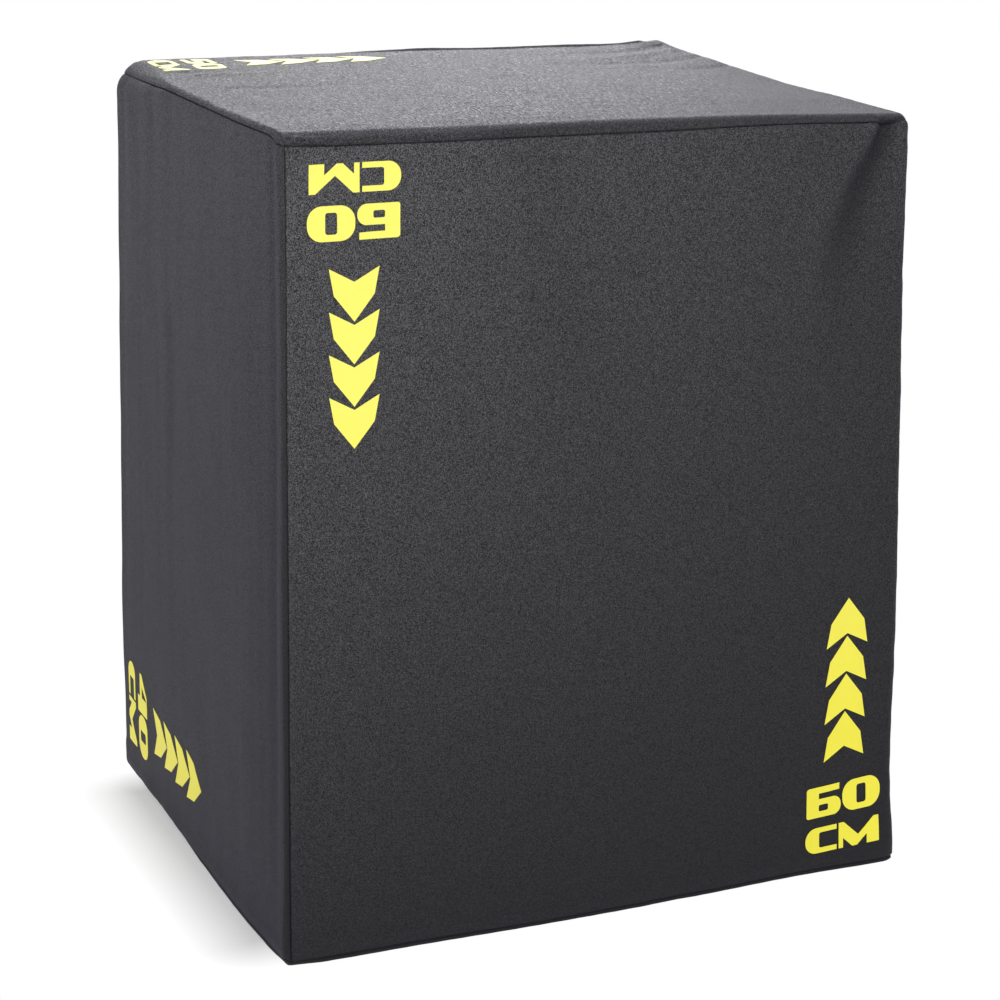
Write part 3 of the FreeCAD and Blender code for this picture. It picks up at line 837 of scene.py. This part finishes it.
marks = {
    "film": 0.00018,
    "proud": 0.0001,
    "step": 5.0,
    "width": 67.4,
    "unitLeft": -0.5,
    "digitLeft": 0.2,
    "digitBase": 28.4,
    "arrowBase": 71.4,
    "arrowPitch": 29.9,
    "arrows": 4,
    # face of the box, digits, direction of reading, direction of up, and where the block's base middle is
    "blocks": [
        ("front", "60", (-1, 0), (0, -1), (-195.4, 580.4)),
        ("front", "60", (0.998, 0.045), (-0.009, 1.027), (211.3, 19.2)),
        ("left", "40", (0.025, -1.10), (-1.0235, -0.0217), (181.9, 69.5)),
        ("top", "50", (-0.039, -0.981), (0.959, -0.049), (-225.0, 153.0)),
    ],
}

# each glyph: widths of its columns, heights of its rows from the base, empty cells,
# moved corners (column, row): (x, y), and rounded corners (column, row): radius
glyphs = {
    "0": {"columns": (12.95, 8.6, 12.95), "rows": (4.7, 14.9, 4.7), "empty": [(1, 1)],
          "round": {(0, 0): 10.8, (3, 0): 10.8, (0, 3): 10.8, (3, 3): 10.8,
                    (1, 1): 1.9, (2, 1): 1.9, (1, 2): 1.9, (2, 2): 1.9}},
    "6": {"columns": (11.1, 8.5, 11.6), "rows": (4.8, 5.1, 4.7, 4.5, 5.1), "empty": [(1, 1), (1, 3), (2, 3)],
          "moved": {(3, 4): (29.8, 19.4), (3, 5): (29.9, 24.3)},
          "round": {(0, 0): 1.8, (0, 5): 2.4, (3, 0): 6.9, (3, 3): 6.9,
                    (1, 1): 1.3, (2, 1): 1.3, (1, 2): 1.3, (2, 2): 1.3}},
    "5": {"columns": (11.1, 8.5, 11.6), "rows": (5.0, 4.4, 5.4, 4.5, 5.0),
          "empty": [(0, 1), (1, 1), (1, 3), (2, 3)],
          "round": {(3, 0): 6.9, (3, 3): 6.9, (0, 5): 1.6, (0, 0): 1.0}},
    "4": {"columns": (6.0, 12.6, 13.0), "rows": (6.0, 5.2, 13.2), "empty": [(0, 0), (1, 0), (1, 2)],
          "moved": {(0, 3): (15.0, 24.4), (1, 3): (18.6, 24.4), (1, 2): (9.0, 11.2), (2, 3): (18.6, 24.4)},
          "round": {}},
    "C": {"columns": (12.4, 15.8), "rows": (4.0, 12.2, 4.0), "empty": [(1, 1)],
          "round": {(0, 0): 9.6, (0, 3): 9.6, (1, 1): 1.5, (1, 2): 1.5}},
    "M": {"columns": (3.9, 8.1, 2.25, 2.25, 8.7, 11.0), "rows": (7.6, 12.7), "empty": [(1, 0), (4, 0)],
          "moved": {(2, 1): (8.0, 3.8), (3, 1): (14.3, 3.8), (4, 1): (20.7, 3.8),
                    (1, 2): (4.6, 20.3), (2, 2): (11.0, 14.3), (3, 2): (17.5, 8.3), (4, 2): (24.6, 14.3),
                    (5, 2): (31.7, 20.3)},
          "round": {}},
}


def roundCorner(verts, corner, toward, radius):
    # moves the outline near a corner onto an arc
    centre = corner + toward * radius
    for vert in verts:
        away = vert.co - centre
        inSquare = all(-1e-4 < -away[a] * toward[a] < radius + 1e-4 for a in range(2))
        if inSquare and away.length > 1e-4:
            vert.co = centre + away.normalized() * radius


def drawGlyph(bm, glyph, left, base):
    columns, rows = glyph["columns"], glyph["rows"]
    wide, tall = len(columns), len(rows)
    made = bmesh.ops.create_grid(bm, x_segments=wide, y_segments=tall, size=1.0)["verts"]
    filled = {(c, r) for c in range(wide) for r in range(tall) if (c, r) not in glyph["empty"]}
    emptyFaces = []
    for face in {face for vert in made for face in vert.link_faces}:
        middle = face.calc_center_median()
        if (int((middle.x + 1) / 2 * wide), int((middle.y + 1) / 2 * tall)) not in filled:
            emptyFaces.append(face)
    corners = {}
    for vert in made:
        column, row = round((vert.co.x + 1) / 2 * wide), round((vert.co.y + 1) / 2 * tall)
        x, y = glyph.get("moved", {}).get((column, row), (sum(columns[:column]), sum(rows[:row])))
        vert.co = (left + x, base + y, 0)
        corners[(column, row)] = vert.co.copy()
    bmesh.ops.delete(bm, geom=emptyFaces, context="FACES")
    edges = {edge for vert in made if vert.is_valid for edge in vert.link_edges if edge.is_boundary}
    bmesh.ops.bisect_edges(bm, edges=list(edges), cuts=9)
    outline = [
        vert for vert in bm.verts
        if vert.is_boundary and left - 0.1 < vert.co.x < left + sum(columns) + 0.1
        and base - 0.1 < vert.co.y < base + sum(rows) + 0.1
    ]
    for (column, row), radius in glyph["round"].items():
        steps = [(sx, sy) for sx in (-1, 1) for sy in (-1, 1)]
        around = {(sx, sy): (column + min(sx, 0), row + min(sy, 0)) in filled for sx, sy in steps}
        kind = sum(around.values()) == 1
        sx, sy = next(step for step, full in around.items() if full == kind)
        roundCorner(outline, corners[(column, row)], Vector((sx, sy, 0)), radius)
    return sum(columns)


def drawArrow(bm, middle, base):
    made = bmesh.ops.create_grid(bm, x_segments=2, y_segments=2, size=1.0)["verts"]
    places = {
        (-1, -1): (-18.3, 0), (0, -1): (0, 9.9), (1, -1): (18.3, 0),
        (-1, 0): (-14.8, 18.9), (0, 0): (0, 21), (1, 0): (14.8, 18.9),
    }
    for vert in made:
        x, y = places.get((round(vert.co.x), round(vert.co.y)), (0, 37.6))
        vert.co = (middle + x, base + y, 0)


def drawRow(bm, text, left, base, gap):
    for letter in text:
        left += drawGlyph(bm, glyphs[letter], left, base) + gap


def makeMark(name, block, m):
    face, digits, reading, up, start = block
    bm = bmesh.new()
    drawRow(bm, "CM", m["unitLeft"], 0, 1.9)
    drawRow(bm, digits, m["digitLeft"], m["digitBase"], 1.5)
    for k in range(m["arrows"]):
        drawArrow(bm, m["width"] / 2, m["arrowBase"] + k * m["arrowPitch"])
    bmesh.ops.remove_doubles(bm, verts=bm.verts[:], dist=0.01)
    height = m["arrowBase"] + m["arrows"] * m["arrowPitch"] + 10
    for axis, reach in ((0, m["width"]), (1, height)):
        for k in range(1, int(reach / m["step"])):
            cutAcross(bm, axis, k * m["step"], 1e-4)
    bmesh.ops.triangulate(bm, faces=bm.faces[:])
    # lay the flat print on its panel
    panel = coverPieces["cover_" + face]
    points, faces = [v.co for v in panel.data.vertices], [p.vertices for p in panel.data.polygons]
    cloth = BVHTree.FromPolygons(points, faces)
    toward = {"front": Vector((0, 1, 0)), "left": Vector((1, 0, 0)), "top": Vector((0, 0, -1))}[face]
    for vert in bm.verts:
        across, rise = vert.co.x - m["width"] / 2, vert.co.y
        u = (start[0] + reading[0] * across + up[0] * rise) * mm
        v = (start[1] + reading[1] * across + up[1] * rise) * mm
        place = {"front": (u, -0.3, v), "left": (-0.35, u, v), "top": (u, v, 0.7)}[face]
        hit, normal, _, _ = cloth.ray_cast(Vector(place), toward)
        if normal.dot(toward) > 0:
            normal.negate()
        vert.co = hit + normal * (m["film"] + m["proud"])
    bm.normal_update()
    outward = sum((f.normal for f in bm.faces), Vector())
    if outward.dot(toward) > 0:
        bmesh.ops.reverse_faces(bm, faces=bm.faces[:])
    bmesh.ops.solidify(bm, geom=bm.faces[:], thickness=m["film"])
    bmesh.ops.recalc_face_normals(bm, faces=bm.faces[:])
    sharpen(addPiece(name, bm, printYellow, "box"), 40)


for number, block in enumerate(marks["blocks"]):
    makeMark(f"height_mark_{block[0]}_{number + 1}", block, marks)
print("height marks laid on the cover")


# Foam boards, a little smaller than the room they have, so that the fabric lies over them freely

foam = {"shrink": 0.002, "outerRound": 0.003, "innerRound": 0.0008, "step": 0.02}
foamLow = Vector([min(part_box(f"foam_{n}")[0][a] for n in ("left", "front", "bottom")) for a in range(3)])
foamHigh = Vector([max(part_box(f"foam_{n}")[1][a] for n in ("right", "back", "top")) for a in range(3)])


def makeFoamMaterial():
    made, tree, shader, place = newMaterial("foamBoard", 0.25)
    cells, large = (
        addNode(tree, "TexVoronoi", {"Vector": place, "Scale": scale})["Distance"] for scale in (520.0, 190.0))
    tone = mottled(tree, place, 7.0, 80.0)
    pores = mathNode(tree, "ADD", cells, mathNode(tree, "MULTIPLY", large, 0.6))
    skin = mixColour(tree, tone["Tone"], (0.30, 0.30, 0.31, 1), (0.38, 0.38, 0.39, 1))
    # painted shade: the pores are darker in their hollows
    shade = mixColour(tree, spread(tree, pores, 0.1, 0.9, 0.35, 0.0), skin, (0.17, 0.17, 0.18, 1))
    finishWith(tree, shader, shade, spread(tree, tone["Dust"], 0.0, 0.5, 0.8, 0.92), pores, 0.0005, 0.7)
    return made


foamMaterial = makeFoamMaterial()
faceNames = (("left", "right"), ("front", "rear"), ("bottom", "top"))


def foldRoom(p, axis):
    # how deep the folds near a point press into the foam
    face = faceNames[axis][p[axis] > (boxLow[axis] + boxHigh[axis]) / 2]
    u, v = [p[a] for a in range(3) if a != axis]
    steps = (-0.02, -0.01, 0, 0.01, 0.02)
    around = [(du, dv) for du in steps for dv in steps]
    return -min(0.0, *(foldAt(face, u + du, v + dv) for du, dv in around))


def makeFoamBoard(name, f):
    low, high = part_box(name)
    bm = boxBetween(low, high)

    def outer(co):
        return [abs(co[a] - foamLow[a]) < 1e-4 or abs(co[a] - foamHigh[a]) < 1e-4 for a in range(3)]

    soft = [e for e in bm.edges if sum(outer((e.verts[0].co + e.verts[1].co) / 2)) == 2]
    bevelEdges(bm, soft, f["outerRound"], 4)
    crisp = [e for e in bm.edges if e.calc_face_angle(0) > math.radians(60)]
    bevelEdges(bm, crisp, f["innerRound"], 2)
    for axis in range(3):
        count = int((high[axis] - low[axis]) / f["step"])
        for k in range(1, count):
            cutAcross(bm, axis, low[axis] + (high[axis] - low[axis]) * k / count, 1e-5)
    middle = (foamLow + foamHigh) / 2
    for vert in bm.verts:
        p = vert.co.copy()
        depth = min(min(p[a] - foamLow[a], foamHigh[a] - p[a]) for a in range(3))
        share = smooth(1 - depth / 0.029)
        wave = 0.0006 * noise.noise(p * 14.0)
        outward = Vector([boxLow[a] if p[a] < middle[a] else boxHigh[a] for a in range(3)])
        rim = Vector([foamLow[a] if p[a] < middle[a] else foamHigh[a] for a in range(3)])
        reach = [smooth(1 - abs(rim[a] - p[a]) / 0.03) for a in range(3)]
        asCover = Vector([p[a] + (outward[a] - rim[a]) * reach[a] for a in range(3)])
        for a in range(3):
            toFace = min(p[a] - foamLow[a], foamHigh[a] - p[a])
            if toFace < 0.012:
                room = foldRoom(asCover, a) if toFace < 0.004 else 0.0
                vert.co[a] += math.copysign(f["shrink"] + abs(wave) + room, middle[a] - p[a])
        vert.co += (rounded(asCover, cover) - asCover + softWarp(asCover, cover)) * share
    bm.normal_update()
    piece = addPiece(name + "_board", bm, foamMaterial, "box")
    sharpen(piece, 50)
    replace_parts(piece, name)


sides = ("front", "back", "left", "right", "bottom", "top")
for side in sides:
    makeFoamBoard("foam_" + side, foam)
print("foam boards made")


# Zip: woven tapes, coil teeth, and the stitch lines that hold the tapes to the fabric

zipTrim = {
    "tapeNear": 0.0007,
    "tapeFar": 0.015,
    "tapeWall": 0.0004,
    "parkGap": 0.0007,  # from the hinge to the tape that is parked beyond it
    "hingeGap": 0.0003,  # from the hinge to the flap's tape
    "toothPitch": 0.0024,
    "tooth": (0.0013, 0.0024, 0.0034),  # along the zip, standing out, across the zip
    "toothGap": 0.0006,  # from the zip's line to a tooth
    "stitchPitch": 0.0042,
    "stitch": (0.0031, 0.0005, 0.0008),
    "stitchSet": 0.0032,  # from the fabric's edge to its stitch line
    "stitchEnd": 0.006,  # from the ends of a line to its last stitch
    "hingeStitch": 0.004,  # from the hinge to the stitches beside it
    "parkedTooth": 0.0045,  # from the hinge to the first tooth beyond it
    "proud": 0.0001,  # how far teeth and stitches stand off the cloth
}
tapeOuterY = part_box("zip_tape_fixed")[1].y
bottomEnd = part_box("zip_tape_flap")[1].x


def makeTapeMaterial():
    made, tree, shader, place = newMaterial("zipTape", 0.3)
    turned = addNode(tree, "Mapping", {"Vector": place, "Rotation": (math.radians(90), 0, 0)})[0]
    weave = woven(tree, turned, 1500.0, 0.3)
    thread = mixColour(tree, weave["Grain"], (0.006, 0.006, 0.007, 1), (0.022, 0.022, 0.024, 1))
    rough = spread(tree, weave["Warp"], 0, 1, 0.6, 0.75)
    finishWith(tree, shader, thread, rough, weave["Height"], 0.0002, 0.9)
    return made


def makeNylon(name, gloss, grain, dark, pale, roughness, bump):
    made, tree, shader, place = newMaterial(name, gloss)
    tone = mottled(tree, place, *grain)
    nylon = mixColour(tree, tone["Tone"], dark, pale)
    finishWith(tree, shader, nylon, spread(tree, tone["Dust"], 0.0, 0.5, *roughness), tone["Dust"], *bump)
    return made


def makeMetal(name, base, worn, roughness):
    made, tree, shader, place = newMaterial(name, plain={"Metallic": 1.0})
    tone = mottled(tree, place, 90.0, 1400.0)
    rough = spread(tree, tone["Tone"], 0.0, 1.0, *roughness)
    finishWith(tree, shader, dusted(tree, tone, 0.8, base, worn), rough, tone["Dust"], 0.00003, 0.4)
    return made


tapeMaterial = makeTapeMaterial()
coilMaterial = makeNylon(
    "zipCoil", 0.5, (60.0, 900.0), (0.010, 0.010, 0.011, 1), (0.018, 0.018, 0.019, 1),
    (0.28, 0.45), (0.00005, 0.5))
stitchMaterial = makeNylon(
    "stitchThread", 0.35, (50.0, 1500.0), (0.035, 0.035, 0.037, 1), (0.06, 0.06, 0.063, 1),
    (0.55, 0.7), (0.0001, 0.7))
zipMetal = makeMetal("zipMetal", (0.055, 0.055, 0.06, 1), (0.22, 0.21, 0.20, 1), (0.28, 0.42))
screwSteel = makeMetal("screwSteel", (0.55, 0.54, 0.50, 1), (0.68, 0.66, 0.58, 1), (0.25, 0.40))


def runEdges(bm, edges, travel, count):
    # draws a row of edges out along a straight run
    for _ in range(count):
        made = bmesh.ops.extrude_edge_only(bm, edges=edges)["geom"]
        edges = [item for item in made if isinstance(item, bmesh.types.BMEdge)]
        verts = {vert for edge in edges for vert in edge.verts}
        bmesh.ops.translate(bm, verts=list(verts), vec=travel / count)
        edges = [edge for edge in edges if all(vert in verts for vert in edge.verts)]
    return edges


def turnEdges(bm, edges, centre, turn):
    geom = edges + list({vert for edge in edges for vert in edge.verts})
    made = bmesh.ops.spin(
        bm, geom=geom, cent=centre, axis=(0, 1, 0), angle=turn, steps=8, use_merge=False, use_duplicate=False)
    return [item for item in made["geom_last"] if isinstance(item, bmesh.types.BMEdge)]


def makeTape(name, side, topEnd, body, z):
    bm = bmesh.new()
    spots = [z["tapeNear"], 0.0022, 0.005, 0.009, 0.013, z["tapeFar"]]
    upper, lower = (Vector((x, tapeOuterY, level)) for x, level, _ in zipCentres)

    def startRow(x, way):
        row = [bm.verts.new((x, tapeOuterY, zipLine["top"] + way * spot)) for spot in spots]
        return [bm.edges.new(pair) for pair in zip(row, row[1:])]

    edges = runEdges(bm, startRow(topEnd, side), Vector((upper.x - topEnd, 0, 0)), 24)
    edges = turnEdges(bm, edges, upper, math.radians(-90))
    edges = runEdges(bm, edges, Vector((0, 0, lower.z - upper.z)), 28)
    edges = turnEdges(bm, edges, lower, math.radians(-90))
    runEdges(bm, edges, Vector((bottomEnd - lower.x, 0, 0)), 22)
    (centreX, topZ, _), (_, lowZ, _) = zipCentres
    length = (topEnd - centreX) + (topZ - lowZ) + (bottomEnd - centreX)
    length += math.pi * (zipLine["radius"] + side * (z["tapeFar"] + z["tapeNear"]) / 2)
    if body == "box":
        # the end of the other tape, parked beyond the hinge
        parked = topEnd - hinge - z["parkGap"]
        runEdges(bm, startRow(hinge + z["parkGap"], -1), Vector((parked, 0, 0)), 6)
        length += parked
    bmesh.ops.recalc_face_normals(bm, faces=bm.faces[:])
    for face in bm.faces:
        if face.normal.y < 0:
            face.normal_flip()
    for vert in bm.verts:
        vert.co.y -= 0.00012 * (1 + noise.noise(vert.co * 60.0))
    piece = addPiece(name + "_woven", bm, tapeMaterial, body)
    thicken(piece, z["tapeWall"])
    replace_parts(piece, name)


def barPlace(x, y, z, turn):
    return Matrix.Translation((x, y, z)) @ Matrix.Rotation(-turn, 4, "Y")


def zipPlaces(offset, level, topEnd, lowEnd, pitch, phase):
    # places along the zip's line moved outwards by an offset: straight, bend, straight, bend, straight
    radius = zipLine["radius"] + offset
    (centreX, topZ, _), (_, lowZ, _) = zipCentres
    bend = radius * math.pi / 2
    runs = [topEnd - centreX, bend, topZ - lowZ, bend, lowEnd - centreX]
    found = []
    for k in range(int((sum(runs) - phase) / pitch) + 1):
        s, leg = phase + k * pitch, 0
        while leg < 4 and s >= runs[leg]:
            s -= runs[leg]
            leg += 1
        if leg in (1, 3):
            turn = math.pi * (leg + 1) / 4 + s / radius
            x, z = centreX + radius * math.cos(turn), (topZ if leg == 1 else lowZ) + radius * math.sin(turn)
            found.append(barPlace(x, level, z, turn + math.pi / 2))
            continue
        x = {0: topEnd - s, 2: centreX - radius, 4: centreX + s}[leg]
        z = {0: topZ + radius, 2: topZ - s, 4: lowZ - radius}[leg]
        found.append(barPlace(x, level, z, {0: math.pi, 2: -math.pi / 2, 4: 0.0}[leg]))
    return found


def roundedBar(size, rounding):
    bm = bmesh.new()
    bmesh.ops.create_cube(bm, size=1.0)
    bmesh.ops.scale(bm, verts=bm.verts[:], vec=size)
    bevelEdges(bm, bm.edges[:], rounding, 1)
    return meshFrom("oneBar", bm)


def repeatBar(bar, places):
    bm = bmesh.new()
    count = len(bar.vertices)
    for matrix in places:
        bm.from_mesh(bar)
        bm.verts.ensure_lookup_table()
        bmesh.ops.transform(bm, matrix=matrix, verts=bm.verts[-count:])
    return bm


def makeTeeth(name, side, topEnd, lowEnd, body, z):
    offset = side * (z["toothGap"] + z["tooth"][2] / 2)
    level = tapeOuterY + z["tooth"][1] / 2 + z["proud"]
    phase = z["toothPitch"] / (2 if side > 0 else 1)
    places = zipPlaces(offset, level, topEnd, lowEnd, z["toothPitch"], phase)
    if body == "box":
        x = hinge + z["parkedTooth"]
        while x < topEnd - 0.001:
            places.append(barPlace(x, level, zipLine["top"] - z["toothGap"] - z["tooth"][2] / 2, 0.0))
            x += z["toothPitch"]
    bm = repeatBar(roundedBar(z["tooth"], 0.0004), places)
    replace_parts(addPiece(name + "_teeth", bm, coilMaterial, body), name)
    print(name, len(places), "teeth")


def makeStitches(name, sign, body, z):
    # one line of stitches along the fabric's edge beside the zip, and one beside the hinge
    level, end = rearY + z["proud"], hinge - z["stitchEnd"]
    places = zipPlaces(sign * (zipLine["gap"] / 2 + z["stitchSet"]), level, end, end, z["stitchPitch"], 0.002)
    up = flapField["bottom"] + z["stitchEnd"]
    while up < flapField["top"] - z["stitchEnd"]:
        places.append(barPlace(hinge + sign * z["hingeStitch"], level, up, math.radians(-90)))
        up += z["stitchPitch"]
    addPiece(name, repeatBar(roundedBar(z["stitch"], 0.0002), places), stitchMaterial, body)
    print(name, len(places), "stitches")


makeTape("zip_tape_fixed", 1, zipLine["end"], "box", zipTrim)
makeTape("zip_tape_flap", -1, hinge - zipTrim["hingeGap"], "flap", zipTrim)
makeTeeth("zip_coil_fixed", 1, zipLine["end"] - 0.004, bottomEnd - 0.004, "box", zipTrim)
makeTeeth("zip_coil_flap", -1, bottomEnd, bottomEnd, "flap", zipTrim)
makeStitches("zip_stitches_fixed", 1, "box", zipTrim)
makeStitches("zip_stitches_flap", -1, "flap", zipTrim)


# Plywood core and metal: CAD shapes, dressed

def makePlywood():
    made, tree, shader, place = newMaterial("plywood", 0.35)
    stretched = addNode(tree, "Mapping", {"Vector": place, "Scale": (6.0, 6.0, 0.9)})[0]
    grain = noiseNode(tree, stretched, 9.0, 6.0, 0.8)["Fac"]
    fibre = noiseNode(tree, stretched, 90.0, 3.0)["Fac"]
    wood = mixColour(tree, spread(tree, grain, 0.35, 0.65), (0.46, 0.30, 0.15, 1), (0.64, 0.46, 0.26, 1))
    streak = mixColour(tree, spread(tree, fibre, 0.5, 0.8, 0.0, 0.5), wood, (0.30, 0.18, 0.085, 1))
    worn = dusted(tree, mottled(tree, place, 5.0, 120.0), 0.3, streak, (0.52, 0.40, 0.26, 1))
    finishWith(tree, shader, worn, spread(tree, fibre, 0.3, 0.7, 0.5, 0.68), fibre, 0.0003, 0.5)
    return made


def dress(material, names):
    for name in names:
        nodes[name].data.materials.clear()
        nodes[name].data.materials.append(material)


dress(makePlywood(), ["core_" + side for side in sides] + ["brace_wide", "brace_deep"])
dress(screwSteel, ["core_screws"])
dress(zipMetal, ["zip_slider", "zip_slider_crown", "zip_pull", "zip_stops"])
print("core, screws and slider dressed")


# Floor, light and background

studio = {
    "floorReach": 6.0,
    "floorColour": (0.80, 0.80, 0.80, 1),
    "shadowMiddle": (-0.006, -0.003, 0.0),
    "shadowHalf": (0.25, 0.15, 1.0),
    "floorShare": 0.25,  # how much of the floor's seen colour is plain white beside the box
    "floorFade": 0.045,  # from the box to where the floor is plain white
    "ambient": 0.4,
    "lamps": [
        {"name": "rearSoftbox", "place": (0.74, 1.83, 1.48), "aim": (0, 0, 0.5), "size": 1.58, "power": 31.5},
        {"name": "leftSoftbox", "place": (-2.2, -3.4, 2.2), "aim": (0, -0.2, 0.3), "size": 1.6, "power": 118.0},
    ],
}


def seenRays(tree, kinds):
    ray = addNode(tree, "LightPath", {})
    seen = ray["Is Camera Ray"]
    for kind in kinds:
        seen = mathNode(tree, "MAXIMUM", seen, ray[kind])
    return seen


def makeFloor(s):
    bm = bmesh.new()
    bmesh.ops.create_grid(bm, x_segments=2, y_segments=2, size=s["floorReach"])
    bmesh.ops.translate(bm, verts=bm.verts[:], vec=(0, 0, -0.0003))
    mesh = meshFrom("studioFloor", bm)
    floor = linkObject("studioFloor", mesh)
    plain = {"Base Color": s["floorColour"], "Roughness": 0.9}
    made, tree, shader, place = newMaterial("studioFloor", 0.0, plain)
    white = addNode(tree, "Emission", {"Color": (1, 1, 1, 1), "Strength": 1.0})[0]
    beside = vectorNode(tree, "ABSOLUTE", vectorNode(tree, "SUBTRACT", place, s["shadowMiddle"]))
    beside = vectorNode(tree, "MAXIMUM", vectorNode(tree, "SUBTRACT", beside, s["shadowHalf"]))
    far = addNode(tree, "VectorMath", {0: beside}, operation="LENGTH")["Value"]
    share = spread(tree, far, 0.0, s["floorFade"], s["floorShare"], 1.0)
    share = mathNode(tree, "MULTIPLY", seenRays(tree, ["Is Glossy Ray"]), share)
    mix = addNode(tree, "MixShader", {0: share, 1: shader.outputs[0], 2: white})[0]
    tree.links.new(mix, tree.nodes["Material Output"].inputs["Surface"])
    mesh.materials.append(made)


def makeLight(s):
    world = bpy.data.worlds.new("studioWorld")
    world.use_nodes = True
    scene.world = world
    tree = world.node_tree
    seen = seenRays(tree, ["Is Glossy Ray", "Is Transmission Ray"])
    background = tree.nodes["Background"]
    background.inputs["Color"].default_value = (1, 1, 1, 1)
    tree.links.new(spread(tree, seen, 0.0, 1.0, s["ambient"], 1.0), background.inputs["Strength"])
    for lamp in s["lamps"]:
        data = bpy.data.lights.new(lamp["name"], "AREA")
        data.shape = "DISK"
        data.size = lamp["size"]
        data.energy = lamp["power"]
        made = linkObject(lamp["name"], data)
        made.location = lamp["place"]
        made.rotation_euler = (Vector(lamp["aim"]) - made.location).to_track_quat("-Z", "Y").to_euler()


makeFloor(studio)
makeLight(studio)
scene.view_settings.view_transform = "Standard"
print("studio set")
